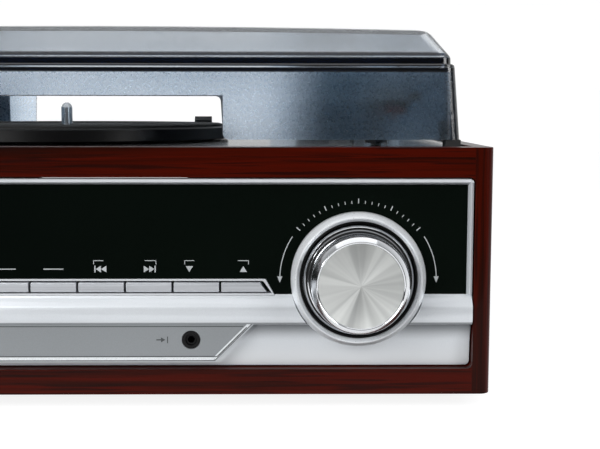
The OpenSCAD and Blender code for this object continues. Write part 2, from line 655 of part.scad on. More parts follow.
/* Record deck */
motor_x = spindle_x + motor_reach * cos(motor_dir);
motor_y = spindle_y + motor_reach * sin(motor_dir);
shaft_hole_r = pulley_r + belt_t + 1.5;
platter_z = deck_z + platter_gap;
mat_z = platter_z + rim_h;
mat_top = mat_z + mat_t;
drum_low = platter_z + 0.6;
plate_z = mat_z - 1.8;
lever_x = 40;
lever_y = back_y - 6;
lever_travel = 12;
cue_x = pivot_x + 24;
cue_y = pivot_y - 46;
adapter_x = 31 - in_half;
adapter_y = back_y - 26;
adapter_r = 19;
arm_l = (pivot_y - stylus_front) / cos(arm_rest_angle);
arm_dir = [sin(arm_rest_angle), -cos(arm_rest_angle)];
function along_arm(d) = [pivot_x, pivot_y] + d * arm_dir;

module deck_plate() color([0.035, 0.035, 0.04]) place() difference() {
  union() {
    block([-in_half + loose, front_t + loose, deck_under], [in_half - loose, back_y - loose, deck_z]);
    difference() {
      block([-in_half + loose, front_t + loose, deck_under - 8], [in_half - loose, back_y - loose,
        deck_under + 0.01]);
      block([-in_half + 3, front_t + 3, deck_under - 9], [in_half - 3, back_y - 3, deck_under]);
    }
    translate([spindle_x, spindle_y, deck_under - 12]) cylinder(h = 12.01, r = 9);
    for (a = [0:60:300]) translate([spindle_x, spindle_y, 0]) rotate(a)
      block([8, -1, deck_under - 8], [70, 1, deck_under + 0.01]);
    translate([adapter_x, adapter_y, 0]) translate([0, 0, deck_under - 3]) cylinder(h = 3.01,
      r = adapter_r + 3);
  }
  translate([spindle_x, spindle_y, deck_under - 13]) cylinder(h = 30, r = axle_r + fit);
  translate([motor_x, motor_y, deck_under - 10]) cylinder(h = 20, r = shaft_hole_r);
  for (p = motor_screws) translate([p.x, p.y, deck_under - 10]) cylinder(h = 20, r = screw_r + fit,
    $fn = 24);
  translate([adapter_x, adapter_y, deck_z - 3]) cylinder(h = 10, r = adapter_r + loose);
  block([lever_x - 3 - loose, lever_y - 2 - loose, deck_under - 10],
    [lever_x + lever_travel + 3 + loose, lever_y + 2 + loose, deck_z + 1]);
  translate([cue_x, cue_y, deck_under - 10]) cylinder(h = 20, r = 5 + loose);
  translate([pivot_x, pivot_y, deck_under - 10]) cylinder(h = 20, r = base_r - 5 + seat);
  translate([rest_spot.x, rest_spot.y, deck_under - 10]) cylinder(h = 20, r = 3 + fit);
}

ear_reach = 18;
motor_screws = [for (s = [-1, 1])
  [motor_x - s * ear_reach * sin(motor_dir), motor_y + s * ear_reach * cos(motor_dir)]];
axle_r = spindle_r - 0.35;
label_in = 0.6;
module spindle() color([0.82, 0.83, 0.85]) turned_at(spindle_x, spindle_y) polygon([
  [0, deck_under - 12], [axle_r, deck_under - 12], [axle_r, mat_top - label_in],
  [spindle_r, mat_top - label_in], [spindle_r, mat_top + spindle_up - 3],
  [spindle_r - 1, mat_top + spindle_up - 1], [spindle_r - 2.4, mat_top + spindle_up], [0,
    mat_top + spindle_up]]);

bush_r = 7;
module platter_bush() color([0.75, 0.6, 0.3]) turned_at(spindle_x, spindle_y) polygon([
  [axle_r + fit, deck_z + 0.3], [bush_r + 2, deck_z + 0.3], [bush_r + 2, drum_low], [bush_r, drum_low],
  [bush_r, mat_z - 0.5], [axle_r + fit, mat_z - 0.5]]);
module platter() color([0.05, 0.05, 0.05]) turned_at(spindle_x, spindle_y) polygon([
  [bush_r, drum_low], [bush_r + 3, drum_low], [bush_r + 3, plate_z], [drum_r - 3, plate_z],
  [drum_r - 3, drum_low], [drum_r, drum_low], [drum_r, plate_z], [platter_r - 3, plate_z],
  [platter_r - 3, platter_z], [platter_r - 0.6, platter_z], [platter_r, platter_z + 0.6],
  [platter_r, mat_z - 0.8], [platter_r - 0.8, mat_z], [platter_r - 3, mat_z],
  [platter_r - 3, mat_z - 0.4], [bush_r, mat_z - 0.4]]);
module platter_mat() color([0.07, 0.07, 0.07]) turned_at(spindle_x, spindle_y) polygon([
  [bush_r + 1, mat_z - 0.4], [platter_r - 3.5, mat_z - 0.4], [platter_r - 3.5, mat_top - 0.4],
  [platter_r - 4.5, mat_top], [52, mat_top], [51, mat_top - label_in], [bush_r + 1,
    mat_top - label_in]]);

motor_r = 16;
motor_h = 24;
module motor() color([0.55, 0.56, 0.58]) place() translate([motor_x, motor_y, 0]) {
  translate([0, 0, deck_under - 3 - motor_h]) cylinder(h = motor_h, r = motor_r);
  translate([0, 0, deck_under - 3.01]) cylinder(h = 3, r = shaft_hole_r - 1.5);
  translate([0, 0, deck_under - 3]) cylinder(h = 6, r = 1);
  rotate(motor_dir) for (s = [-1, 1]) translate([0, s * ear_reach, 0]) difference() {
    translate([0, 0, deck_under - 4]) cylinder(h = 4, r = 5);
    translate([0, 0, deck_under - 5]) cylinder(h = 6, r = screw_r + fit, $fn = 24);
  }
}
belt_z = drum_low + 0.5;
module motor_pulley() color([0.75, 0.6, 0.3]) turned_at(motor_x, motor_y) polygon([
  [1 + fit, deck_z + 0.3], [pulley_r - 1, deck_z + 0.3], [pulley_r - 1, belt_z - 0.3],
  [pulley_r, belt_z - 0.3], [pulley_r, belt_z + belt_w + 0.1], [pulley_r - 2, belt_z + belt_w + 0.5],
    [0, belt_z + belt_w + 0.5],
  [0, deck_under + 3.3], [1 + fit, deck_under + 3.3]]);
// Open belt round two circles: its straight runs are tangent to both
belt_tilt = acos((drum_r - pulley_r) / motor_reach);
function belt_outline(off) = concat(
  arc([0, 0], drum_r + off, belt_tilt, 360 - belt_tilt, 72),
  arc([motor_reach, 0], pulley_r + off, -belt_tilt, belt_tilt, 12));
module drive_belt() color([0.04, 0.04, 0.04]) place() translate([spindle_x, spindle_y,
  belt_z]) rotate(motor_dir)
  linear_extrude(belt_w) difference() {
    polygon(belt_outline(belt_t + 0.12));
    polygon(belt_outline(0.12));
  }

/* Tonearm */
arm_z = deck_z + arm_up;
parked_up = 4;
rest_spot = along_arm(arm_l - rest_back);
yoke_low = deck_z + 12;
// Round base with a stepped turret, let into the deck
module tonearm_base() color([0.05, 0.05, 0.055]) turned_at(pivot_x, pivot_y) polygon([
  [1.5 + fit, deck_under - 6], [base_r - 5, deck_under - 6], [base_r - 5, deck_z], [base_r, deck_z],
  [base_r, deck_z + 3], [base_r - 2, deck_z + 4.5], [base_r - 8, deck_z + 5],
  [base_r - 9, yoke_low - 0.6], [1.5 + fit, yoke_low - 0.6]]);
yoke_half = 10;
module tonearm_yoke() color([0.6, 0.61, 0.63]) with_arm([pivot_x, pivot_y]) difference() {
  union() {
    translate([0, 0, yoke_low]) cylinder(h = 2.5, r = 12);
    translate([0, 0, deck_under - 5]) cylinder(h = yoke_low - deck_under + 5.01, r = 1.5);
    for (s = [-1, 1]) block([s * yoke_half - 1.5, -5, yoke_low], [s * yoke_half + 1.5, 5, arm_z + 4]);
  }
  rod_x(0, arm_z, -20, 20, 1 + fit);
}
// Places a piece on the arm at rest: local -Y runs from the pivot to the stylus
module on_arm() place() translate([pivot_x, pivot_y, arm_z]) rotate(arm_rest_angle) children();
module tonearm_tube() color([0.75, 0.76, 0.78]) on_arm() {
  block([-8, -7, -tube_r], [8, 7, 4.5]);
  rod_x(0, 0, -yoke_half - 1.4, yoke_half + 1.4, 1);
  translate([0, -7, 0]) rotate([90, 0, 0]) cylinder(h = arm_l - 49, r = tube_r);
  translate([0, 20, 0]) rotate([90, 0, 0]) cylinder(h = 13.1, r = 2.5);
}
module counterweight() color([0.5, 0.51, 0.53]) on_arm() difference() {
  translate([0, 24, 0]) rotate([90, 0, 0]) cylinder(h = 12, r = weight_r);
  translate([0, 20 + fit, 0]) rotate([90, 0, 0]) cylinder(h = 20, r = 2.5 + fit);
}
stylus_z = mat_top + parked_up - arm_z;
head_y = -arm_l + 42;
// Moulded shell that drops from the tube to the cartridge, with a finger lift
module headshell() color([0.05, 0.05, 0.055]) on_arm() difference() {
  union() {
    along_x(-8, 8) polygon([[head_y + 8, 4], [head_y - 10, 3.4], [head_y - 46, -3], [head_y - 47, -6],
      [head_y - 44, -6.4], [head_y - 22, -4.8], [head_y - 6, -4.4], [head_y + 8, -4.4]]);
    along_x(7.9, 14) polygon([[head_y - 40, -3.4], [head_y - 42, -3.6], [head_y - 46, 0.4],
      [head_y - 45, 1.4], [head_y - 41.6, -1.8], [head_y - 32, -1.4], [head_y - 32, -3]]);
  }
  translate([0, head_y + 9, 0]) rotate([90, 0, 0]) cylinder(h = 9 + fit, r = tube_r + fit);
}
module stylus() color([0.7, 0.03, 0.05]) on_arm() {
  along_x(-6, 6) polygon([[head_y - 24, -4.95], [head_y - 44, -6.45], [head_y - 45, -9.5],
    [head_y - 40, -10.5], [head_y - 25, -9.5]]);
  along_x(-1, 1) polygon([[head_y - 40, -10], [head_y - 41.4, stylus_z], [head_y - 42.4, stylus_z],
    [head_y - 44, -9.5]]);
}
rest_z = arm_z - tube_r - 0.3;
clip_hinge = [7.6, rest_z - 3];
// Post that carries the parked arm, with a cradle and a hinge ear for the clip
module arm_rest() color([0.05, 0.05, 0.055]) with_arm(rest_spot) difference() {
  union() {
    translate([0, 0, deck_under - 4]) cylinder(h = deck_t + 4.5, r = 3);
    translate([0, 0, deck_z]) cylinder(h = 2, r = 7);
    translate([0, 0, deck_z + 1.9]) cylinder(h = rest_z - 4 - deck_z, r = 3.4);
    slab_y(-4, 4) polygon([[-6, rest_z - 4], [0, rest_z - 7], [clip_hinge.x + 2.4, rest_z - 6],
      [clip_hinge.x + 2.4, rest_z - 0.4], [clip_hinge.x - 3, rest_z - 0.4], [tube_r + 1.2, rest_z + 3],
      [tube_r + 0.4, rest_z + 3], [tube_r + 0.2, rest_z + 1], [2, rest_z], [-5, rest_z],
      [-6, rest_z - 1]]);
  }
  block([clip_hinge.x - 3, -1.8, rest_z - 7], [clip_hinge.x + 3, 1.8, rest_z + 1]);
  rod_y(clip_hinge.x, clip_hinge.y, -6, 6, 0.8 + fit);
}
// Clip on a pin through the ears, drawn swung open; closed, its hook lies over the parked tube
clip_swing = 60;
module arm_clip() color([0.5, 0.51, 0.53]) with_arm(rest_spot)
  translate([clip_hinge.x, 0, clip_hinge.y]) rotate([0, clip_swing, 0]) {
    rod_y(0, 0, -3.9, 3.9, 0.8);
    slab_y(-1.5, 1.5) polygon([[-1.6, -1.6], [1.6, -1.6], [1.6, 2 * tube_r + 4], [-5.6,
      2 * tube_r + 7.4],
      [-12, 2 * tube_r + 5.6], [-12, 2 * tube_r + 4.2], [-5.6, 2 * tube_r + 4.4], [-1.6,
        2 * tube_r + 1.6]]);
  }
// Lift lever that turns beside the base, and the platform that it raises under the tube
cue_spot = along_arm(34);
module cue_lever() color([0.06, 0.06, 0.065]) place() translate([cue_x, cue_y, 0]) {
  rotate_extrude() polygon([[0, deck_under - 4], [5, deck_under - 4], [5, deck_z + 8], [4.2,
    deck_z + 9], [0, deck_z + 9]]);
  along_x(-2, 2) polygon([[-2, deck_z + 5], [-15, deck_z + 11], [-17, deck_z + 13.4], [-14,
    deck_z + 13.6], [1, deck_z + 8.6]]);
}
lift_gap = 2.1;
module cue_platform() color([0.08, 0.08, 0.085]) with_arm(cue_spot) {
  translate([0, 0, lift_seat]) cylinder(h = arm_z - tube_r - 2.4 - lift_gap - lift_seat + 0.01, r = 2);
  block([-34, -2, arm_z - tube_r - 2.4 - lift_gap], [5, 2, arm_z - tube_r - lift_gap]);
}
lift_seat = deck_z + 0.3;

module speed_lever() color([0.05, 0.05, 0.05]) place() translate([lever_x, lever_y, 0]) {
  block([-3, -2, deck_under - 5], [3, 2, deck_z + 1]);
  block([-6.5, -3.5, deck_z + 0.3], [6.5, 3.5, deck_z + 11]);
  along_x(-6.5, 6.5) polygon([[-3.5, deck_z + 10.9], [3.5, deck_z + 10.9], [1.8, deck_z + 13.6],
    [-1.8, deck_z + 13.6]]);
}
module adapter_45() color([0.1, 0.1, 0.1]) place() translate([adapter_x, adapter_y,
  deck_z - 3]) rotate_extrude() polygon([
  [spindle_r + 0.1, 0], [adapter_r - 0.5, 0], [adapter_r, 0.5], [adapter_r, 3.5], [adapter_r - 1.5, 5],
  [9, 5.4], [7, 6.4], [spindle_r + 0.1, 6.4]]);

/* Lid */
lid_half = half_w - lid_side;
lid_mid = (lid_front + cab_d - lid_rear) / 2;
lid_deep = (cab_d - lid_rear - lid_front) / 2;
wall_in = tan(lid_lean) * (ledge_z - lid_gap);
step_in = wall_in + ledge_w;
facet_in = step_in + tan(facet_lean) * (facet_top - facet_low) + 0.9;
edge_in = facet_in + 4.6;
edge_z = facet_top + 2.4;
crown_rings = 5;
function crown_z(inset) = edge_z + crown * (1 - pow((lid_deep - inset) / (lid_deep - edge_in), 2));
function crown_in(k) = edge_in + (lid_deep - 10 - edge_in) * k / crown_rings;
// Rings of the outside: height above the cabinet and inset from the lower edge
outer_rings = concat([[lid_gap, 0], [ledge_z - 2, wall_in - 0.14], [ledge_z - 0.7, wall_in + 0.2],
  [ledge_z, wall_in + 1], [ledge_z + 0.1, step_in], [facet_low - 1.6, step_in + 0.1],
  [facet_low - 0.3, step_in + 0.7], [facet_top, facet_in], [facet_top + 1.7, facet_in + 2]],
  [for (k = [0:crown_rings]) [crown_z(crown_in(k)), crown_in(k)]]);
inner_rings = concat([[lid_gap - 1, lid_t], [ledge_z - lid_t, wall_in + lid_t],
  [ledge_z - lid_t + 0.1, step_in + lid_t], [facet_low - 1.6, step_in + lid_t],
  [facet_top - 1.2, facet_in + lid_t]],
  [for (k = [0:crown_rings]) [crown_z(crown_in(k)) - lid_t, min(crown_in(k) + 1.6, lid_deep - 8)]]);
function bow_z(inset, x) = inset < facet_in ? 0 : bow * (1 - pow(x / (lid_half - facet_in), 2));
bow_points = 7;
// Rounded rectangle with more points along its two long sides, so that they can bow
function long_rect(w, h, r) = let (points = round_rect(w, h, r), quarter = len(points) / 4)
  [for (i = [0:len(points) - 1]) each let (a = points[i], b = points[(i + 1) % len(points)])
    i % (2 * quarter) == quarter - 1
      ? [for (k = [0:bow_points]) a + (b - a) * k / (bow_points + 1)] : [a]];
function ring_points(ring, r) = let (inset = ring[1], deep = lid_deep - inset)
  [for (p = long_rect(2 * (lid_half - inset), 2 * deep, min(r, deep * 0.9)))
    [p.x, p.y + lid_mid, cab_h + ring[0] + bow_z(inset, p.x)]];
// Closed solid through a stack of rings with equal numbers of points
module skin(rings, r) {
  n = len(ring_points(rings[0], r));
  last = len(rings) - 1;
  polyhedron(points = [for (ring = rings) for (p = ring_points(ring, r)) p],
    faces = concat([[for (i = [0:n - 1]) i]],
      [for (k = [0:last - 1], i = [0:n - 1]) each
        let (a = k * n + i, b = k * n + (i + 1) % n) [[a, a + n, b], [b, a + n, b + n]]],
      [[for (i = [0:n - 1]) last * n + n - 1 - i]]));
}
notch_lean = 1;
// Outline of a cut-out from a wall's lower edge: flared foot, sides that lean in, round upper corners
function notch_outline(half, top) = let (up = top - lid_gap - notch_r,
  foot = half + notch_flare) concat(
  [[foot, -2], [foot, 0]], arc([foot, notch_flare], notch_flare, 270, 180),
  arc([half - notch_lean - notch_r, up], notch_r, 0, 90),
  arc([-half + notch_lean + notch_r, up], notch_r, 90, 180),
  arc([-foot, notch_flare], notch_flare, 0, -90), [[-foot, -2]]);
module lid() color([0.42, 0.47, 0.53, 0.75]) place() difference() {
  skin(outer_rings, lid_corner_r);
  skin(inner_rings, lid_corner_r - 2);
  translate([spindle_x, 0, lid_z]) slab_y(lid_front - 5, lid_front + 12)
    polygon(notch_outline(notch_half, notch_top));
  translate([0, 0, lid_z]) slab_y(lid_back - 12, lid_back + 5)
    polygon(notch_outline(rear_notch_half, rear_notch_top));
}

buffer_w = 8;
buffer_up = 10;
// Rubber corner buffers: a foot under the lid's edge and an upright inside its wall
module lid_buffers() color([0.03, 0.03, 0.03]) place() both() {
  block([lid_half - buffer_w, lid_front + 0.6, deck_z + 0.02],
    [lid_half, lid_front + buffer_w + 4, lid_z]);
  block([lid_half - lid_t - buffer_w + 0.8, lid_front + lid_t + 2.2, lid_z - 0.01],
    [lid_half - lid_t - 2.2, lid_front + lid_t + 8, lid_z + buffer_up]);
}

/* Lid hinges */
hinges = [-hinge_x, hinge_x];
third = hinge_l / 3;
hinge_screws = [for (x = hinges, s = [-1, 1]) [x + s * (third + 1), hinge_z - 14]];
leaf_low = hinge_z - 20;
leaf_top = lid_z + 26;
lid_back = cab_d - lid_rear;
// Fixed leaf on the back board with the two outer knuckles and the pin
module hinge_brackets() color([0.7, 0.71, 0.73]) place() for (x = hinges) difference() {
  union() {
    block([x - hinge_l / 2, cab_d, leaf_low], [x + hinge_l / 2, cab_d + leaf_t,
      hinge_z - knuckle_r - loose]);
    for (s = [-1, 1]) {
      rod_x(hinge_y, hinge_z, x + s * third - third / 2, x + s * third + third / 2, knuckle_r);
      block([x + s * third - third / 2, cab_d, hinge_z - knuckle_r - 1],
        [x + s * third + third / 2, cab_d + leaf_t, hinge_z + 0.4]);
    }
    rod_x(hinge_y, hinge_z, x - hinge_l / 2 - 0.5, x + hinge_l / 2 + 0.5, hinge_pin_r);
  }
  for (p = hinge_screws) rod_y(p.x, p.y, cab_d - 1, cab_d + leaf_t + 1, screw_r + fit);
}
// Moving leaf on the lid's rear wall: a plate that follows the wall's lean, an arm and the middle
// knuckle
module hinge_leaves() color([0.7, 0.71, 0.73]) place() for (x = hinges) difference() {
  union() {
    rod_x(hinge_y, hinge_z, x - third / 2 + knuckle_gap / 2, x + third / 2 - knuckle_gap / 2,
      knuckle_r);
    along_x(x - third / 2 + knuckle_gap / 2, x + third / 2 - knuckle_gap / 2) polygon([
      [hinge_y - 2.2, hinge_z + 2], [hinge_y + 0.6, hinge_z + 3], [lid_back + leaf_t + 0.2,
        lid_z + 4], [lid_back + 0.05, lid_z + 3]]);
    along_x(x - hinge_l / 2, x + hinge_l / 2) polygon([
      [lid_back + 0.02, lid_z + 1], [lid_back + leaf_t, lid_z + 1],
      [lid_back + leaf_t - tan(lid_lean) * (leaf_top - lid_z), leaf_top],
      [lid_back + 0.02 - tan(lid_lean) * (leaf_top - lid_z), leaf_top]]);
  }
  rod_x(hinge_y, hinge_z, x - hinge_l, x + hinge_l, hinge_pin_r + fit);
}

front_frame();
left_side_board();
right_side_board();
back_board();
base_board();
rubber_feet();
screws();
fascia();
display_window();
button_surround();
volume_ring();
volume_knob();
encoder_shaft();
encoder_plunger();
encoder_body();
lcd_module();
control_board();
key_switches();
front_jacks();
button_function();
button_band();
button_memory();
button_stereo();
button_tuning_down();
button_tuning_up();
button_preset_down();
button_preset_up();
speaker_grilles();
speakers();
speaker_cones();
main_board();
heat_sink();
power_transformer();
rear_panel();
line_out_jacks();
mains_inlet();
deck_plate();
spindle();
platter();
platter_mat();
platter_bush();
motor();
motor_pulley();
drive_belt();
tonearm_base();
tonearm_yoke();
tonearm_tube();
headshell();
stylus();
counterweight();
arm_rest();
arm_clip();
cue_lever();
cue_platform();
speed_lever();
adapter_45();
lid();
lid_buffers();
hinge_brackets();
hinge_leaves();
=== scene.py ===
"""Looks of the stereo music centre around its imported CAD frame."""
import json
import math

import bmesh
import bpy
from mathutils import Matrix, Vector

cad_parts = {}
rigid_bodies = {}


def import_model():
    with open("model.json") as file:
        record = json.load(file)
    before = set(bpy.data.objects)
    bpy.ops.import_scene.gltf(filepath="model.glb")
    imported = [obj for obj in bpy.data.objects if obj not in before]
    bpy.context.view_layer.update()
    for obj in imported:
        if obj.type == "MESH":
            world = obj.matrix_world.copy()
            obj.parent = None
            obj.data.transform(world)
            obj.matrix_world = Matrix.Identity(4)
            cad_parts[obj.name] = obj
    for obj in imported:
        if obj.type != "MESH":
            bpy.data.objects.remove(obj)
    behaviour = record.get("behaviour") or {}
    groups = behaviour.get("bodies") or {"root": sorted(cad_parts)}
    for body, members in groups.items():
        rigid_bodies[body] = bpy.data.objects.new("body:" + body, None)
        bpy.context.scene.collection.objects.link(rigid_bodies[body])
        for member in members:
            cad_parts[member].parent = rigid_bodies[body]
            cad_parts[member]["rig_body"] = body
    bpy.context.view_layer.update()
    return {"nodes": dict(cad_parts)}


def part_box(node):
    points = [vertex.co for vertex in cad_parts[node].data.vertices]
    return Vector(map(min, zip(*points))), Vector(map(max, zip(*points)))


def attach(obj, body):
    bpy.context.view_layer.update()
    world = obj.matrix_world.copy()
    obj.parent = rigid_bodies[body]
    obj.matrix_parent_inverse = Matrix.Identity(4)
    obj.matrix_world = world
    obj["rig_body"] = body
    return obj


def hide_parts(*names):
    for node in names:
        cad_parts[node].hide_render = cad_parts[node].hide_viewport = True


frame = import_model()
NODES = frame["nodes"]
BODY = {n: o["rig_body"] for n, o in NODES.items()}

# The cabinet's own frame: X from the middle, Y from its front face, Z from its underside, in mm
FRONT_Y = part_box("front_frame")[0].y * 1000
FOOT_H = 8.0
CAB_H = 125.0
# Half width of the front frame's opening; beyond it the grain runs upright
OPEN_HALF = 198.7
# Depth of the window's face, and how far the sub-panel stands out
WINDOW_Y, PANEL_OUT = 1.5, 1.2
# Lower edge of the projecting band; where the cove's painted shade ends, and where the painted
# highlight of its pale foot fades in
BAND_LOW, COVE_FADE, FOOT_FROM, FOOT_TO = 38.6, 26.0, 27.0, 17.0
VOL_X, VOL_Z = 140.6, 59.0
JACK_X, JACK_Z = 56.75, 28.5
SPINDLE = (-36.0, 160.0)
MAT_TOP = 134.5
KNOB_OUT, FACE_R = 22.5, 21.1
# The lid's front face, the top of its walls, and its record notch
LID_FRONT, WALL_TOP = 37.0, CAB_H + 38.0
NOTCH_HALF, NOTCH_TOP = 107.0, CAB_H + 25.4
# Distances from the middle, in metres, where the walls' painted shade of the dark parts seen through
# them begins and is full, and where the front corners begin
SEE_THROUGH_SHADE_FROM, SEE_THROUGH_SHADE_TO, CORNER_X = 0.094, 0.130, 0.1912
# Heights between which the lid's bent ledge gets painted dark lines, painted shade where the sheet
# bends
LEDGE_LINES = [(CAB_H + 38.4, CAB_H + 40.2), (CAB_H + 41.4, CAB_H + 45.6),
               (CAB_H + 47.0, CAB_H + 48.2)]


def P(x, y, z):
    """A point of the cabinet's frame, in mm, as a point of the row frame, in metres."""
    return Vector((x / 1000, (y + FRONT_Y) / 1000, (z + FOOT_H) / 1000))


def at_y(y):
    """Row-frame depth, in metres, of a depth in the cabinet's frame."""
    return P(0, y, 0).y


def at_z(z):
    """Row-frame height, in metres, of a height in the cabinet's frame."""
    return P(0, 0, z).z


# ---------------------------------------------------------------- materials
def lin(rgb):
    """8-bit colour as Blender's linear colour."""
    return tuple(((c / 255 + 0.055) / 1.055) ** 2.4 if c > 10 else c / 255 / 12.92
                 for c in rgb) + (1.0,)


def add_node(tree, kind, **values):
    """A new shader node, with values for its sockets or its own settings."""
    n = tree.nodes.new("ShaderNode" + kind)
    for k, v in values.items():
        if k in n.inputs:
            n.inputs[k].default_value = v
        else:
            setattr(n, k, v)
    return n


class Tree:
    """Short forms for building one material's node tree."""

    def __init__(self, name):
        self.mat = bpy.data.materials.new(name)
        self.mat.use_nodes = True
        self.nt = self.mat.node_tree
        self.bsdf = self.nt.nodes["Principled BSDF"]
        self.place = None

    def node(self, kind, **values):
        return add_node(self.nt, kind, **values)

    def link(self, a, b):
        self.nt.links.new(a, b)

    def where(self):
        """The place in the row frame, in metres."""
        if self.place is None:
            self.place = self.node("TexCoord").outputs["Object"]
        return self.place

    def mapped(self, scale, at=(0, 0, 0)):
        m = self.node("Mapping", Scale=scale, Location=at)
        self.link(self.where(), m.inputs["Vector"])
        return m.outputs["Vector"]

    def noise(self, scale, detail=3.0, rough=0.5, vector=None, warp=0.0):
        n = self.node("TexNoise", Scale=scale, Detail=detail, Roughness=rough, Distortion=warp)
        self.link(vector or self.where(), n.inputs["Vector"])
        return n.outputs["Fac"]

    def math(self, op, a, b=0.0, c=0.0):
        m = self.node("Math", operation=op)
        for i, v in enumerate((a, b, c)):
            if isinstance(v, (int, float)):
                m.inputs[i].default_value = v
            else:
                self.link(v, m.inputs[i])
        return m.outputs[0]

    def times(self, *factors):
        out = factors[0]
        for factor in factors[1:]:
            out = self.math("MULTIPLY", out, factor)
        return out

    def band(self, value, low, high):
        """0 at low, 1 at high, smooth between; low may be the greater."""
        m = self.node("MapRange", interpolation_type="SMOOTHSTEP")
        self.link(value, m.inputs["Value"])
        m.inputs["From Min"].default_value = low
        m.inputs["From Max"].default_value = high
        return m.outputs["Result"]

    def stripe(self, value, low, high, soft):
        """1 between low and high, 0 a little outside them."""
        return self.times(self.band(value, low - soft, low), self.band(value, high + soft, high))

    def ramp(self, value, stops):
        r = self.node("ValToRGB")
        el = r.color_ramp.elements
        while len(el) < len(stops):
            el.new(0.5)
        for e, (at, rgb) in zip(el, stops):
            e.position = at
            e.color = lin(rgb)
        self.link(value, r.inputs["Fac"])
        return r.outputs["Color"]

    def mix(self, fac, a, b):
        m = self.node("Mix", data_type="RGBA")
        sockets = [s for s in m.inputs if s.type == "RGBA"]
        for s, v in ((m.inputs[0], fac), (sockets[0], a), (sockets[1], b)):
            if isinstance(v, (int, float, tuple)):
                s.default_value = v
            else:
                self.link(v, s)
        return [o for o in m.outputs if o.type == "RGBA"][0]

    def axis(self, letter):
        s = self.node("SeparateXYZ")
        self.link(self.where(), s.inputs[0])
        return s.outputs[letter]

    def bump(self, height, strength, distance):
        b = self.node("Bump", Strength=strength, Distance=distance)
        self.link(height, b.inputs["Height"])
        return b.outputs["Normal"]

    def finish(self, **sockets):
        """Sets or links the shader's sockets and gives the material."""
        for k, v in sockets.items():
            s = self.bsdf.inputs[k.replace("_", " ")]
            if isinstance(v, (int, float, tuple)):
                s.default_value = v
            else:
                self.link(v, s)
        return self.mat


def plastic(name, rgb, rough=0.45, grain=900.0, bump=0.12, vary=0.12, spec=0.5):
    """Moulded plastic or rubber: fine grain in its surface and slow drifts of its shade."""
    t = Tree(name)
    slow = t.noise(22.0, 4.0)
    fine = t.noise(grain, 2.0)
    dark = tuple(c * (1 - vary) for c in rgb)
    light = tuple(min(255, c * (1 + vary) + 2) for c in rgb)
    col = t.ramp(slow, [(0.3, dark), (0.7, light)])
    r = t.math("MULTIPLY_ADD", fine, 0.12, rough - 0.06)
    return t.finish(Base_Color=col, Roughness=r, Specular_IOR_Level=spec,
                    Normal=t.bump(fine, bump, 0.0004))


def metal(name, rgb, rough=0.3, brush=None, metallic=1.0, vary=0.06, strength=0.08):
    """Metal or metal paint, brushed along an axis when brush gives the texture's scale."""
    t = Tree(name)
    lines = t.noise(1.0, 3.0, 0.6, t.mapped(brush)) if brush else t.noise(1500.0, 2.0)
    slow = t.noise(14.0, 3.0)
    dark = tuple(c * (1 - vary) for c in rgb)
    light = tuple(min(255, c * (1 + vary)) for c in rgb)
    col = t.ramp(t.math("MULTIPLY_ADD", lines, 0.6, t.times(slow, 0.4)),
                 [(0.35, dark), (0.65, light)])
    r = t.math("MULTIPLY_ADD", lines, 0.14, rough - 0.07)
    return t.finish(Base_Color=col, Metallic=metallic, Roughness=r,
                    Normal=t.bump(lines, strength, 0.0002))


def veneer(name, grain_axis, stiles=False):
    """Lacquered red mahogany. Its figure runs along grain_axis, and along Z on the stiles."""
    t = Tree(name)
    long, across = 2.4, 88.0
    scales = {"X": (long, across, across), "Y": (across, long, across), "Z": (across, across, long)}
    vec = t.mapped(scales[grain_axis])
    if stiles:
        far = t.band(t.math("ABSOLUTE", t.axis("X")), (OPEN_HALF - 0.3) / 1000,
                     (OPEN_HALF + 0.1) / 1000)
        pick = t.node("Mix", data_type="VECTOR")
        ins = [s for s in pick.inputs if s.type == "VECTOR"][-2:]
        t.link(far, pick.inputs[0])
        t.link(vec, ins[0])
        t.link(t.mapped(scales["Z"], at=(3, 5, 7)), ins[1])
        vec = [o for o in pick.outputs if o.type == "VECTOR"][0]
    broad = t.noise(1.0, 5.0, 0.55, vec, 0.9)
    scaled = t.node("VectorMath", operation="SCALE", Scale=9.0)
    t.link(vec, scaled.inputs[0])
    pores = t.noise(1.0, 2.0, 0.5, scaled.outputs[0], 0.2)
    base = t.ramp(broad, [(0.32, (20, 7, 4)), (0.44, (42, 8, 2)), (0.54, (68, 11, 2)),
                          (0.68, (46, 8, 2))])
    dark = t.band(pores, 0.5, 0.68)
    col = t.mix(t.times(dark, 0.7), base, lin((18, 6, 4)))
    rough = t.math("MULTIPLY_ADD", pores, 0.1, 0.26)
    return t.finish(Base_Color=col, Roughness=rough, Specular_IOR_Level=0.06,
                    Coat_Weight=0.04, Coat_Roughness=0.05,
                    Normal=t.bump(t.math("SUBTRACT", 1.0, dark), 0.12, 0.0002))


def board_edge(name):
    """Dark-stained board of the back and the base, with its fibres along X."""
    t = Tree(name)
    fibres = t.noise(1.0, 4.0, 0.6, t.mapped((3.0, 60.0, 60.0)), 0.5)
    col = t.ramp(fibres, [(0.3, (26, 21, 18)), (0.6, (44, 35, 29)), (0.8, (34, 27, 22))])
    return t.finish(Base_Color=col, Roughness=0.62, Normal=t.bump(fibres, 0.25, 0.0004))


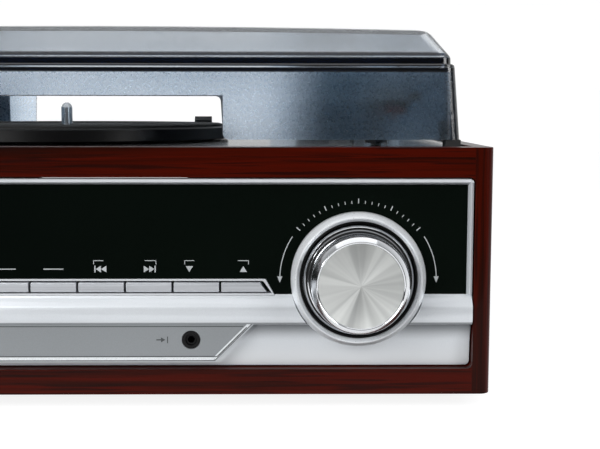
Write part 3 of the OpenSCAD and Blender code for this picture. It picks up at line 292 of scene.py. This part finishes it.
def fascia_paint():
    """Silver lacquer with a fine flake: deeper on the sub-panel, with painted shade high in the cove
    and a painted highlight at its pale foot.
    """
    t = Tree("fascia_silver")
    flake = t.noise(2600.0, 2.0)
    slow = t.noise(9.0, 3.0)
    blend = t.math("MULTIPLY_ADD", flake, 0.5, t.times(slow, 0.5))
    col = t.ramp(blend, [(0.3, (207, 211, 216)), (0.7, (220, 224, 228))])
    deeper = t.ramp(blend, [(0.3, (134, 138, 141)), (0.7, (145, 149, 152))])
    # Darker silver for the painted shade high in the cove, under the band
    painted_shade_silver = t.ramp(blend, [(0.3, (104, 108, 112)), (0.7, (115, 119, 123))])
    y, z = t.axis("Y"), t.axis("Z")
    recess = t.band(y, at_y(0.2), at_y(0.9))
    painted_cove_shade = t.times(recess, t.band(z, at_z(COVE_FADE), at_z(BAND_LOW - 2)),
                     t.band(z, at_z(BAND_LOW + 1.5), at_z(BAND_LOW + 0.5)))
    # The cove's foot is painted paler: a painted highlight where it faces up
    foot = t.times(recess, t.band(z, at_z(FOOT_FROM), at_z(FOOT_TO)))
    panel = t.times(t.band(y, at_y(-PANEL_OUT + 0.25), at_y(-PANEL_OUT + 0.05)),
                    t.band(z, at_z(BAND_LOW - 1.0), at_z(BAND_LOW - 1.5)))
    col = t.mix(foot, t.mix(painted_cove_shade, col, painted_shade_silver), lin((218, 221, 224)))
    col = t.mix(panel, col, deeper)
    r = t.math("MULTIPLY_ADD", flake, 0.16, 0.3)
    return t.finish(Base_Color=col, Metallic=0.38, Roughness=r, Normal=t.bump(flake, 0.03, 0.00006))


def window_gloss():
    """Black glossy window with a faint green depth."""
    t = Tree("window_gloss_black")
    slow = t.noise(6.0, 3.0)
    col = t.ramp(slow, [(0.3, (5, 9, 7)), (0.7, (8, 14, 10))])
    smear = t.noise(30.0, 4.0)
    return t.finish(Base_Color=col, Roughness=t.math("MULTIPLY_ADD", smear, 0.05, 0.05),
                    Specular_IOR_Level=0.16)


def lid_front_mask(t, y):
    """1 in the lid's front wall alone."""
    return t.band(y, at_y(LID_FRONT + 14), at_y(LID_FRONT + 9))


def lid_painted_dark_lines(t, x, y, z, wall):
    """1 where painted shade makes the lid nearly black: its ledge, its front corners and its notch's
    cut edge.
    """
    near = t.band(y, at_y(LID_FRONT + 26), at_y(LID_FRONT + 18))
    dark = t.times(t.band(x, CORNER_X, CORNER_X + 0.0006), near, wall, 0.95)
    for low, high in LEDGE_LINES:
        dark = t.math("MAXIMUM", dark, t.stripe(z, at_z(low), at_z(high), 0.0005))
    cut_z, cut_x = at_z(NOTCH_TOP), (NOTCH_HALF - 1) / 1000
    across = t.math("ABSOLUTE", t.math("SUBTRACT", t.axis("X"), P(SPINDLE[0], 0, 0).x))
    over = t.times(t.stripe(z, cut_z - 0.0002, cut_z + 0.0003, 0.0003),
                   t.band(across, cut_x + 0.0015, cut_x))
    side = t.times(t.stripe(across, cut_x - 0.0006, cut_x + 0.0008, 0.0004),
                   t.band(z, cut_z + 0.001, cut_z))
    cut = t.times(t.math("MAXIMUM", over, side), lid_front_mask(t, y), 0.9)
    return t.math("MAXIMUM", dark, cut)


def smoked_lid():
    """Smoked acrylic: a smooth top painted paler as a painted reflection, grained walls darker towards
    their ends as painted shade, painted dark lines and a painted edge highlight.
    """
    t = Tree("smoked_acrylic")
    grain = t.noise(620.0, 3.0, 0.75)
    broad = t.noise(26.0, 3.0)
    streak = t.noise(1.0, 3.0, 0.6, t.mapped((4.0, 160.0, 160.0)))
    shade = t.math("MULTIPLY_ADD", broad, 0.3, t.times(streak, 0.36))
    shade = t.math("MULTIPLY_ADD", grain, 0.34, shade)
    # The top is painted paler and less blue than the walls: a painted reflection of the pale backdrop
    top = t.ramp(shade, [(0.34, (218, 224, 230)), (0.66, (232, 237, 242))])
    light = t.ramp(shade, [(0.34, (200, 216, 232)), (0.66, (234, 244, 255))])
    # Darker smoke towards the walls' ends: painted shade standing in for the dark arm and deck seen
    # through the sheet
    painted_see_through_shade = t.ramp(shade, [(0.34, (58, 84, 104)), (0.66, (124, 150, 172))])
    x, y, z = t.math("ABSOLUTE", t.axis("X")), t.axis("Y"), t.axis("Z")
    wall = t.band(z, at_z(WALL_TOP + 1.0), at_z(WALL_TOP))
    col = t.mix(wall, top, t.mix(t.band(x, SEE_THROUGH_SHADE_FROM, SEE_THROUGH_SHADE_TO), light, painted_see_through_shade))
    # Past the painted shade the walls turn pale again
    past = t.times(t.band(x, SEE_THROUGH_SHADE_TO + 0.006, SEE_THROUGH_SHADE_TO + 0.030), wall, 0.12)
    # Painted shade: dark lines where the sheet bends, at its front corners and along the notch's cut
    # edge
    dark = lid_painted_dark_lines(t, x, y, z, wall)
    col = t.mix(dark, t.mix(past, col, light), lin((3, 9, 24)))
    # A painted highlight along the inner edge of each front corner
    painted_edge_highlight = t.times(t.stripe(x, CORNER_X - 0.0012, CORNER_X - 0.0004, 0.0004),
                    t.times(lid_front_mask(t, y), wall), 0.7)
    col = t.mix(painted_edge_highlight, col, lin((232, 240, 248)))
    r = t.math("MULTIPLY_ADD", grain, t.math("MULTIPLY_ADD", wall, 0.16, 0.04), 0.18)
    r = t.math("MULTIPLY_ADD", t.times(r, dark), -0.6, r)
    relief = t.times(grain, t.math("MULTIPLY_ADD", wall, 0.7, 0.02))
    return t.finish(Base_Color=col, Roughness=r, IOR=1.49, Transmission_Weight=0.96,
                    Specular_IOR_Level=0.2, Normal=t.bump(relief, 0.6, 0.0005))


def spun_metal():
    """Turned aluminium: the highlight fans out from the axis, with fine rings, and light and dark
    sectors painted into its colour as painted reflection.
    """
    t = Tree("spun_aluminium")
    dx = t.math("SUBTRACT", t.axis("X"), P(VOL_X, 0, 0).x)
    dz = t.math("SUBTRACT", t.axis("Z"), at_z(VOL_Z))
    radius = t.math("SQRT", t.math("ADD", t.times(dx, dx), t.times(dz, dz)))
    comb = t.node("CombineXYZ")
    t.link(radius, comb.inputs["X"])
    rings = t.noise(5200.0, 2.0, 0.6, comb.outputs[0])
    angle = t.math("ARCTAN2", dz, dx)
    fan = t.node("CombineXYZ")
    t.link(t.math("COSINE", angle), fan.inputs["X"])
    t.link(t.math("SINE", angle), fan.inputs["Y"])
    # Light and dark sectors by angle: painted reflection of the lamps
    painted_reflection_sectors = t.noise(2.2, 2.0, 0.55, fan.outputs[0])
    col = t.ramp(t.math("MULTIPLY_ADD", rings, 0.12, t.times(painted_reflection_sectors, 0.88)),
                 [(0.34, (186, 188, 187)), (0.5, (214, 216, 214)), (0.64, (236, 238, 236))])
    tangent = t.node("Tangent", direction_type="RADIAL", axis="Y")
    return t.finish(Base_Color=col, Metallic=0.6, Anisotropic=0.85, Tangent=tangent.outputs[0],
                    Roughness=t.math("MULTIPLY_ADD", rings, 0.1, 0.26),
                    Normal=t.bump(rings, 0.05, 0.00005))


def chrome():
    """Bright plating with a faint drift of its gloss."""
    t = Tree("knob_chrome")
    slow = t.noise(40.0, 3.0)
    col = t.ramp(slow, [(0.3, (206, 208, 211)), (0.7, (222, 224, 227))])
    return t.finish(Base_Color=col, Metallic=1.0,
                    Roughness=t.math("MULTIPLY_ADD", slow, 0.05, 0.09))


def deck_gloss():
    """Black deck with a light film of dust in its gloss."""
    t = Tree("deck_gloss_black")
    dust = t.noise(240.0, 4.0, 0.7)
    slow = t.noise(10.0, 3.0)
    col = t.ramp(slow, [(0.3, (11, 11, 12)), (0.7, (17, 17, 19))])
    return t.finish(Base_Color=col, Roughness=t.math("MULTIPLY_ADD", dust, 0.16, 0.14),
                    Specular_IOR_Level=0.22, Coat_Weight=0.08, Coat_Roughness=0.06)


def mat_rubber():
    """Fine-grained black rubber."""
    t = Tree("mat_rubber")
    fine = t.noise(1400.0, 2.0)
    slow = t.noise(30.0, 3.0)
    col = t.ramp(slow, [(0.3, (9, 9, 10)), (0.7, (15, 15, 16))])
    return t.finish(Base_Color=col, Roughness=t.math("MULTIPLY_ADD", fine, 0.15, 0.6),
                    Normal=t.bump(fine, 0.2, 0.0003))


def board_green():
    """Circuit board: solder mask over copper tracks."""
    t = Tree("circuit_board")
    cells = t.node("TexVoronoi", Scale=160.0, feature="DISTANCE_TO_EDGE")
    t.link(t.where(), cells.inputs["Vector"])
    track = t.band(cells.outputs["Distance"], 0.06, 0.1)
    col = t.mix(track, lin((56, 118, 70)), lin((22, 70, 40)))
    return t.finish(Base_Color=col, Roughness=0.35, Normal=t.bump(track, 0.15, 0.0002))


M = {
    "wood_front": veneer("veneer_front", "X", True),
    "wood_side": veneer("veneer_side", "Y"),
    "board": board_edge("stained_board"),
    "silver": fascia_paint(),
    "window": window_gloss(),
    "lid": smoked_lid(),
    "spun": spun_metal(),
    "chrome": chrome(),
    "ring": metal("ring_silver", (222, 225, 228), 0.3, metallic=0.3, vary=0.02, strength=0.01),
    "button": metal("button_silver", (196, 199, 204), 0.38, (8.0, 900.0, 900.0), 0.75),
    "rim": metal("surround_bright", (212, 215, 219), 0.34, metallic=0.25, vary=0.01, strength=0.002),
    # Dark grey for the painted groove shadow round the sub-panel, and for the printed signs by the
    # jacks
    "groove": plastic("groove_painted_shade_and_print", (66, 69, 71), 0.6, 900.0, 0.02, 0.05),
    # Pale silver for the painted highlight on the sub-panel's rim
    "painted_highlight_rim": metal("rim_silver", (222, 226, 229), 0.34, metallic=0.35, strength=0.015),
    "mark": plastic("print_grey", (176, 180, 182), 0.5, 1800.0, 0.04, 0.05),
    "black": plastic("black_plastic", (6, 6, 7), 0.36, spec=0.2),
    "satin": plastic("black_satin", (26, 26, 28), 0.5, 700.0, 0.2),
    "rubber": plastic("black_rubber", (20, 20, 21), 0.75, 500.0, 0.3),
    "deck": deck_gloss(),
    "mat": mat_rubber(),
    "steel": metal("steel", (196, 198, 200), 0.24, (300.0, 300.0, 20.0)),
    "zinc": metal("zinc_screw", (176, 178, 176), 0.34),
    "alu": metal("arm_aluminium", (202, 204, 207), 0.26, (900.0, 20.0, 900.0)),
    "brass": metal("brass", (196, 158, 84), 0.28),
    "nickel": metal("socket_nickel", (206, 202, 190), 0.25),
    "board_green": board_green(),
    "core": metal("transformer_iron", (112, 104, 96), 0.5, (20.0, 20.0, 1500.0), 0.8),
    "red": plastic("stylus_red", (205, 22, 26), 0.35, 900.0, 0.05),
    "cone": plastic("speaker_cone", (24, 24, 25), 0.7, 300.0, 0.4),
    "lcd": plastic("lcd_frame", (30, 36, 32), 0.4),
}

FINISH = {
    "front_frame": "wood_front", "left_side_board": "wood_side", "right_side_board": "wood_side",
    "back_board": "board", "base_board": "board", "rubber_feet": "rubber", "screws": "zinc",
    "fascia": "silver", "display_window": "window", "button_surround": "rim", "volume_ring": "ring",
    "volume_knob": "chrome", "encoder_shaft": "steel", "encoder_plunger": "black",
    "encoder_body": "steel", "lcd_module": "lcd", "control_board": "board_green",
    "key_switches": "black", "front_jacks": "black", "speaker_grilles": "satin", "speakers": "core",
    "speaker_cones": "cone", "main_board": "board_green", "heat_sink": "steel",
    "power_transformer": "core", "rear_panel": "satin", "line_out_jacks": "nickel",
    "mains_inlet": "black", "deck_plate": "deck", "spindle": "steel", "platter": "black",
    "platter_mat": "mat", "platter_bush": "brass", "motor": "steel", "motor_pulley": "brass",
    "drive_belt": "rubber", "tonearm_base": "satin", "tonearm_yoke": "steel", "tonearm_tube": "alu",
    "headshell": "black", "stylus": "red", "counterweight": "steel", "arm_rest": "satin",
    "arm_clip": "black", "cue_lever": "alu", "cue_platform": "satin", "speed_lever": "satin",
    "adapter_45": "alu", "lid": "lid", "lid_buffers": "rubber", "hinge_brackets": "steel",
    "hinge_leaves": "steel",
}
for name, o in NODES.items():
    o.data.materials.clear()
    o.data.materials.append(M[FINISH.get(name, "button")])


def piece(name, bm, mat, node, smooth=True):
    """A new object that rides with the CAD node it belongs to."""
    mesh = bpy.data.meshes.new(name)
    bm.to_mesh(mesh)
    bm.free()
    if "custom_normal" in mesh.attributes:
        mesh.attributes.remove(mesh.attributes["custom_normal"])
    o = bpy.data.objects.new(name, mesh)
    bpy.context.scene.collection.objects.link(o)
    mesh.materials.clear()
    mesh.materials.append(M[mat])
    for p in mesh.polygons:
        p.use_smooth = smooth
    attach(o, BODY[node])
    return o


def softened(node, width):
    """Replaces a CAD node by its copy with merged flat faces and rounded edges."""
    bm = bmesh.new()
    bm.from_mesh(NODES[node].data)
    bmesh.ops.remove_doubles(bm, verts=bm.verts, dist=1e-6)
    bmesh.ops.dissolve_limit(bm, angle_limit=math.radians(0.5), verts=bm.verts, edges=bm.edges)
    o = piece(node + "_soft", bm, FINISH.get(node, "button"), node)
    b = o.modifiers.new("round", "BEVEL")
    b.width = width
    b.segments = 2
    b.limit_method = "ANGLE"
    b.angle_limit = math.radians(30)
    b.harden_normals = True
    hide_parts(node)


for node, width in (("front_frame", 0.0006), ("left_side_board", 0.0006), ("right_side_board", 0.0006),
                    ("headshell", 0.0005), ("arm_rest", 0.0004), ("cue_lever", 0.0003),
                    ("speed_lever", 0.0003), ("back_board", 0.0005), ("counterweight", 0.0005),
                    ("adapter_45", 0.0003), ("hinge_leaves", 0.0002), ("hinge_brackets", 0.0002),
                    ("fascia", 0.00015)):
    softened(node, width)
for node in [n for n in NODES if n.startswith("button_") and n != "button_surround"]:
    softened(node, 0.0003)


TURN_STEPS = 128


def lathe(name, profile, centre, mat, node, forward=False):
    """Turned piece from (radius, height) in mm: about Z, or about -Y through (x, z) when forward."""
    bm = bmesh.new()
    rings = []
    for r, h in profile:
        ring = []
        for k in range(TURN_STEPS if r > 0 else 1):
            a = 2 * math.pi * k / TURN_STEPS
            u, v = centre[0] + r * math.cos(a), centre[1] + r * math.sin(a)
            ring.append(bm.verts.new(P(u, -h, v) if forward else P(u, v, h)))
        rings.append(ring)
    for a, b in zip(rings, rings[1:]):
        n = max(len(a), len(b))
        for k in range(n):
            q = [a[k % len(a)], a[(k + 1) % len(a)], b[(k + 1) % len(b)], b[k % len(b)]]
            q = [v for i, v in enumerate(q) if v not in q[:i]]
            if len(q) > 2:
                bm.faces.new(q)
    bmesh.ops.recalc_face_normals(bm, faces=bm.faces)
    o = piece(name, bm, mat, node)
    split = o.modifiers.new("edges", "EDGE_SPLIT")
    split.split_angle = math.radians(28)
    return o


RING_R, RING_BORE, RING_OUT = 33.9, 28.5, 5.4
ring_turned = lathe("volume_ring_turned", [
    (RING_BORE, -3.0), (RING_BORE, 2.1), (RING_BORE + 0.9, 2.3), (RING_BORE + 1.1, 3.0),
    (RING_BORE + 1.25, RING_OUT - 1.4), (RING_BORE + 1.75, RING_OUT - 0.75),
    (RING_BORE + 1.95, RING_OUT - 0.45), (RING_R - 3.1, RING_OUT - 0.15), (RING_R - 2.8, RING_OUT),
    (RING_R - 2.45, RING_OUT - 0.1), (RING_R - 2.1, RING_OUT - 0.45), (RING_R - 1.9, RING_OUT - 0.7),
    (RING_R - 0.75, 2.9), (RING_R - 0.35, 2.2), (RING_R - 0.1, 1.4), (RING_R, 0.9), (RING_R, -3.0),
    (RING_BORE, -3.0)],
    (VOL_X, VOL_Z), "ring", "volume_ring", forward=True)
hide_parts("volume_ring")

# Black piece in the ring's bore: painted shadow of the gap between ring and knob
KNOB_R, SKIRT_R, GROOVE_Y, GAP_SHADOW_OUT = 24.3, 27.7, 5.7, 1.6
lathe("ring_gap_painted_shadow", [(RING_BORE - 0.45, -2.8), (RING_BORE - 0.45, GAP_SHADOW_OUT - 0.2),
                          (RING_BORE - 0.3, GAP_SHADOW_OUT), (RING_BORE - 0.02, GAP_SHADOW_OUT + 0.6),
                          (RING_BORE + 0.1, GAP_SHADOW_OUT + 0.9), (RING_BORE + 0.95, GAP_SHADOW_OUT + 1.1),
                          (RING_BORE + 0.95, GAP_SHADOW_OUT + 0.68), (RING_BORE - 0.02, GAP_SHADOW_OUT + 0.45),
                          (RING_BORE - 0.02, -2.8), (RING_BORE - 0.45, -2.8)],
      (VOL_X, VOL_Z), "black", "volume_ring", forward=True)

# Knob turned in one piece, with a stepped chrome skirt, two black lines of painted groove shadow and a
# spun face
BORE_R, BORE_TOP, FACE_Y = 3.1, 16.5, KNOB_OUT - 0.6
knob_turned = lathe("volume_knob_turned", [
    (BORE_R, -0.5), (BORE_R, BORE_TOP), (0, BORE_TOP), (0, FACE_Y), (FACE_R - 0.4, FACE_Y),
    (FACE_R, KNOB_OUT - 0.15), (FACE_R + 0.3, KNOB_OUT), (FACE_R + 0.6, KNOB_OUT - 0.1),
    (KNOB_R - 0.9, KNOB_OUT - 2.2), (KNOB_R - 0.25, KNOB_OUT - 3.2), (KNOB_R, KNOB_OUT - 5),
    (KNOB_R, GROOVE_Y + 1.2), (KNOB_R - 0.6, GROOVE_Y + 0.8), (KNOB_R - 0.6, GROOVE_Y - 0.5),
    (KNOB_R + 0.6, GROOVE_Y - 0.6), (KNOB_R + 1.2, 4.9), (KNOB_R + 1.5, 4.2), (KNOB_R + 1.9, 4.2),
    (KNOB_R + 2.3, 4.5), (SKIRT_R - 0.4, 4.0), (SKIRT_R, 3.2), (SKIRT_R, 1), (SKIRT_R - 2, 1),
    (SKIRT_R - 2, 3), (7, 3), (7, -0.5), (BORE_R, -0.5)],
    (VOL_X, VOL_Z), "chrome", "volume_knob", forward=True)
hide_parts("volume_knob")
# Black rings in the knob's groove and the skirt's groove: painted shadow
lathe("knob_groove_painted_shadow", [(KNOB_R - 0.6, GROOVE_Y - 0.49), (KNOB_R + 0.55, GROOVE_Y - 0.58),
                           (KNOB_R + 0.6, GROOVE_Y - 0.4), (KNOB_R + 0.1, GROOVE_Y),
                           (KNOB_R + 0.06, GROOVE_Y + 1.1), (KNOB_R - 0.6, GROOVE_Y + 0.79),
                           (KNOB_R - 0.6, GROOVE_Y - 0.49)],
      (VOL_X, VOL_Z), "black", "volume_knob", forward=True)
lathe("skirt_groove_painted_shadow", [(KNOB_R + 1.3, 4.64), (KNOB_R + 1.5, 4.21), (KNOB_R + 1.9, 4.21),
                            (KNOB_R + 2.2, 4.42), (KNOB_R + 1.9, 4.5), (KNOB_R + 1.3, 4.64)],
      (VOL_X, VOL_Z), "black", "volume_knob", forward=True)
lathe("knob_face_spun", [(0, FACE_Y + 0.02), (0.8, FACE_Y + 0.1), (FACE_R - 0.5, FACE_Y + 0.12),
                         (FACE_R - 0.45, FACE_Y + 0.02), (0, FACE_Y + 0.02)],
      (VOL_X, VOL_Z), "spun", "volume_knob", forward=True)


def mat_profile():
    """Rubber mat: closed section with moulded rings and a label recess."""
    low, valley, recess = MAT_TOP - 2.15, MAT_TOP - 0.45, MAT_TOP - 0.7
    bore, rim, ring, pitch = 8.0, 99.5, 98.4, 3.1
    out = [(bore, low), (rim - 0.1, low), (rim, MAT_TOP - 0.5), (rim - 0.5, valley)]
    while ring > 56:
        out += [(ring, valley), (ring - 0.5, MAT_TOP), (ring - 1.7, MAT_TOP), (ring - 2.2, valley)]
        ring -= pitch
    return out + [(52.0, MAT_TOP - 0.1), (51.0, recess), (bore + 0.3, recess),
                  (bore, MAT_TOP - 1.0), (bore, low)]


mat_ribbed = lathe("platter_mat_ribbed", mat_profile(), SPINDLE, "mat", "platter_mat")
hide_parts("platter_mat")


# ---------------------------------------------------------------- printed marks on the window and the fascia, painted shadow and highlight round the sub-panel
def flat_piece(name, outlines, y, mat, node="display_window", thick=0.00006):
    """Thin flat shapes, printed marks and painted shadow and highlight lines: outlines of (x, z) in mm
    on the plane at depth y.
    """
    bm = bmesh.new()
    for pts in outlines:
        bm.faces.new([bm.verts.new(P(x, y, z)) for x, z in pts])
    bm.normal_update()
    for f in bm.faces:
        if f.normal.y > 0:
            f.normal_flip()
    out = bmesh.ops.extrude_face_region(bm, geom=bm.faces[:])
    moved = [v for v in out["geom"] if isinstance(v, bmesh.types.BMVert)]
    bmesh.ops.translate(bm, verts=moved, vec=(0, -thick, 0))
    bmesh.ops.recalc_face_normals(bm, faces=bm.faces)
    piece(name, bm, mat, node, smooth=False)


def bar(x0, x1, z, w=0.35):
    """Level line at z from x0 to x1."""
    return [(x0, z - w / 2), (x1, z - w / 2), (x1, z + w / 2), (x0, z + w / 2)]


def post(x, z0, z1, w=0.35):
    """Upright line at x from z0 to z1."""
    return [(x - w / 2, z0), (x + w / 2, z0), (x + w / 2, z1), (x - w / 2, z1)]


def tri(x, z, w, h, toward):
    """Triangle about (x, z) that points left, right, up or down."""
    a, b = w / 2, h / 2
    shapes = {"left": [(x - a, z), (x + a, z - b), (x + a, z + b)],
              "right": [(x + a, z), (x - a, z + b), (x - a, z - b)],
              "up": [(x, z + b), (x - a, z - b), (x + a, z - b)],
              "down": [(x, z - b), (x + a, z + b), (x - a, z + b)]}
    return shapes[toward]


def arc_bars(cx, cz, r, a0, a1, n=14):
    """Quads along an arc; angles in degrees clockwise from straight up."""
    inner, outer = r - 0.225, r + 0.225
    out = []
    for i in range(n):
        p, q = (math.radians(a0 + (a1 - a0) * k / n) for k in (i, i + 1))
        out.append([(cx + s * math.sin(t), cz + s * math.cos(t))
                    for t, s in ((p, inner), (q, inner), (q, outer), (p, outer))])
    return out


def radial(cx, cz, r0, r1, a, w):
    """Tick from radius r0 to r1, at angle a clockwise from straight up."""
    s, c = math.sin(math.radians(a)), math.cos(math.radians(a))
    return [(cx + r * s + k * w / 2 * c, cz + r * c - k * w / 2 * s)
            for r, k in ((r0, -1), (r0, 1), (r1, 1), (r1, -1))]


def skip(x, z, toward):
    """Two triangles and a bar, as on a search key."""
    d = 1 if toward == "right" else -1
    return [tri(x, z, 2.6, 3.4, toward), tri(x + 2.7 * d, z, 2.6, 3.4, toward),
            post(x + 4.4 * d, z - 1.7, z + 1.7, 0.6)]


# Heights of the brackets over the keys and of their signs; radius of the volume arcs
BRACKET_Z, SIGN_Z, ARC_R = 68.25, 64.0, 39.3
marks = [bar(x0, x1, BRACKET_Z)
         for x0, x1 in ((8, 13), (33.75, 39.5), (53.5, 58.5), (80.25, 85.75))]
marks += [post(x, BRACKET_Z - 1.85, BRACKET_Z) for x in (8.2, 39.3, 53.7, 85.6)]
marks += skip(13.2, SIGN_Z, "left") + skip(34.5, SIGN_Z, "right")
marks += [tri(56, SIGN_Z, 3.6, 3.0, "down"), tri(83, SIGN_Z, 3.6, 3.0, "up")]
marks += [bar(x - 5, x + 5, SIGN_Z, 0.5) for x in (-83.3, -59.5, -35.7, -11.9)]
marks += arc_bars(VOL_X, VOL_Z, ARC_R, -57, -88) + arc_bars(VOL_X, VOL_Z, ARC_R, 57, 88)
for end in (math.radians(-90.5), math.radians(90.5)):
    marks.append(tri(VOL_X + ARC_R * math.sin(end), VOL_Z + ARC_R * math.cos(end), 2.6, 3.2, "down"))
for k in range(-10, 11):
    reach, width = (40.4, 0.5) if k % 5 == 0 else (39.4, 0.35)
    marks.append(radial(VOL_X, VOL_Z, 38.0, reach, k * 5, width))
flat_piece("window_marks", marks, WINDOW_Y - 0.02, "mark")

# An input arrow and a headphone sign beside the front jacks
at, ear = JACK_X - 15, -JACK_X + 13
signs = [bar(at - 2.4, at, JACK_Z, 0.6), tri(at + 1, JACK_Z, 2.2, 2.6, "right"),
         post(at + 3.2, JACK_Z - 1.7, JACK_Z + 1.7, 0.5)]
signs += arc_bars(ear, JACK_Z - 0.4, 1.9, -90, 90, n=12)
signs += [post(ear + s * 1.9, JACK_Z - 2.0, JACK_Z - 0.2, 0.9) for s in (-1, 1)]
flat_piece("jack_marks", signs, -PANEL_OUT - 0.03, "groove", "fascia", 0.00003)


def sloped(x0, z0, x1, z1, w):
    """Quad of width w along the line between two points."""
    run, rise = x1 - x0, z1 - z0
    k = w / 2 / math.hypot(run, rise)
    return [(x0 + rise * k, z0 - run * k), (x1 + rise * k, z1 - run * k),
            (x1 - rise * k, z1 + run * k), (x0 - rise * k, z0 + run * k)]


# Dark lines of painted groove shadow round the sub-panel's face, and a painted highlight on its rim
# along its slanted ends and lower edge
PANEL_HALF, PANEL_LOW, PANEL_TOP = 88.0, 17.6, 37.2
grooves, rims = [], []
for inset, width, into in ((0.25, 0.4, grooves), (1.25, 1.5, rims), (2.35, 0.5, grooves)):
    top, low = PANEL_TOP - (inset if into is grooves else 0.4), PANEL_LOW + inset
    half = PANEL_HALF - inset * 1.4
    foot = half - (top - low)
    into.append(sloped(-foot, low, foot, low, width))
    for side in (-1, 1):
        into.append(sloped(side * foot, low, side * half, top, width))
grooves.append(sloped(-PANEL_HALF + 5.0, PANEL_TOP - 1.9, PANEL_HALF - 5.0, PANEL_TOP - 1.9, 0.45))
flat_piece("panel_rim_lines", grooves, -PANEL_OUT - 0.03, "groove", "fascia", 0.00003)
flat_piece("painted_highlight_panel_rim", rims, -PANEL_OUT - 0.01, "painted_highlight_rim", "fascia", 0.00002)


# ---------------------------------------------------------------- stage, light, camera
# The paper's own glow, the depth where it ends, and the sky in reflections: overhead and in front
PAPER_LIFT, PAPER_END, CEILING, FRONT_SKY = 0.86, -0.45, 0.36, 0.045


def backdrop():
    """Pale paper that ends in front of the object, where glossy faces mirror a dark studio."""
    bm = bmesh.new()
    rows = [(PAPER_END, 0.0), (1.4, 0.0), (1.7, 0.05), (1.9, 0.2), (2.0, 0.5), (2.0, 3.0)]
    grid = [[bm.verts.new((x, y, z)) for x in (-4.0, 4.0)] for y, z in rows]
    for a, b in zip(grid, grid[1:]):
        bm.faces.new((a[0], a[1], b[1], b[0]))
    me = bpy.data.meshes.new("floor_sweep")
    bm.to_mesh(me)
    bm.free()
    o = bpy.data.objects.new("floor_sweep", me)
    bpy.context.scene.collection.objects.link(o)
    t = Tree("studio_paper")
    fibre = t.noise(300.0, 3.0)
    col = t.ramp(fibre, [(0.3, (140, 141, 142)), (0.7, (150, 151, 152))])
    path = t.node("LightPath")
    seen = t.math("MAXIMUM", path.outputs["Is Camera Ray"], path.outputs["Is Transmission Ray"])
    seen = t.math("MAXIMUM", seen, path.outputs["Is Glossy Ray"])
    lift = t.math("MULTIPLY", seen, PAPER_LIFT)
    me.materials.append(t.finish(Base_Color=col, Roughness=0.9, Emission_Color=(1, 1, 1, 1),
                                 Emission_Strength=lift))


def white_world():
    """White where the camera looks, directly or through the lid; graded for all that is reflected."""
    world = bpy.data.worlds.new("studio")
    bpy.context.scene.world = world
    world.use_nodes = True
    nt = world.node_tree
    nt.nodes.clear()

    def rise(source, low, high, top):
        m = add_node(nt, "MapRange", interpolation_type="SMOOTHSTEP")
        nt.links.new(source, m.inputs["Value"])
        m.inputs["From Min"].default_value = low
        m.inputs["From Max"].default_value = high
        m.inputs["To Max"].default_value = top
        return m.outputs["Result"]

    def join(op, a, b):
        m = add_node(nt, "Math", operation=op)
        nt.links.new(a, m.inputs[0])
        nt.links.new(b, m.inputs[1])
        return m.outputs[0]

    path = add_node(nt, "LightPath")
    seen = join("MAXIMUM", path.outputs["Is Camera Ray"], path.outputs["Is Transmission Ray"])
    sep = add_node(nt, "SeparateXYZ")
    nt.links.new(add_node(nt, "TexCoord").outputs["Generated"], sep.inputs[0])
    level = join("MAXIMUM", rise(sep.outputs["Y"], -0.05, 0.35, 1.0),
                 rise(sep.outputs["Z"], 0.02, 0.5, CEILING))
    base = add_node(nt, "Math", operation="ADD")
    nt.links.new(level, base.inputs[0])
    base.inputs[1].default_value = FRONT_SKY
    soft = add_node(nt, "Background", Color=(0.97, 0.985, 1.0, 1))
    nt.links.new(base.outputs[0], soft.inputs["Strength"])
    white = add_node(nt, "Background", Color=(1, 1, 1, 1), Strength=1.0)
    mix = add_node(nt, "MixShader")
    out = add_node(nt, "OutputWorld")
    nt.links.new(seen, mix.inputs["Fac"])
    nt.links.new(soft.outputs[0], mix.inputs[1])
    nt.links.new(white.outputs[0], mix.inputs[2])
    nt.links.new(mix.outputs[0], out.inputs["Surface"])


def lamp(name, at, to, size, watts):
    """Rectangular area light at a point, aimed at another, in metres."""
    data = bpy.data.lights.new(name, "AREA")
    data.shape = "RECTANGLE"
    data.size, data.size_y = size
    data.energy = watts
    o = bpy.data.objects.new(name, data)
    bpy.context.scene.collection.objects.link(o)
    o.location = at
    o.rotation_euler = (Vector(to) - Vector(at)).to_track_quat("-Z", "Y").to_euler()


backdrop()
white_world()
lamp("top_softbox", (0.0, -0.25, 1.45), (0.0, 0.0, 0.1), (1.7, 1.0), 5)
lamp("left_softbox", (-1.0, -1.3, 0.75), (0.0, 0.0, 0.08), (0.9, 0.9), 23)
lamp("right_softbox", (1.35, -1.05, 0.7), (0.1, 0.0, 0.08), (0.5, 0.9), 11)

# The photograph's camera: focal length and width in pixels, sensor width in mm, angles in degrees
FOCAL_PX, IMAGE_W, SENSOR_W = 1058.0, 600.0, 36.0
PITCH, YAW, ROLL = -6.31, -0.73, 0.08
cam_data = bpy.data.cameras.new("photo_camera")
cam_data.sensor_fit = "HORIZONTAL"
cam_data.sensor_width = SENSOR_W
cam_data.lens = FOCAL_PX / IMAGE_W * SENSOR_W
cam_data.clip_start = 0.01
cam = bpy.data.objects.new("photo_camera", cam_data)
bpy.context.scene.collection.objects.link(cam)
cam.location = P(104.7, -523.5, 144.5)
cam.rotation_mode = "XYZ"
turn = (Matrix.Rotation(math.radians(YAW), 4, "Z") @ Matrix.Rotation(math.radians(90 + PITCH), 4, "X")
        @ Matrix.Rotation(math.radians(ROLL), 4, "Z"))
cam.rotation_euler = turn.to_euler("XYZ")
bpy.context.scene.camera = cam
bpy.context.scene.view_settings.view_transform = "Standard"
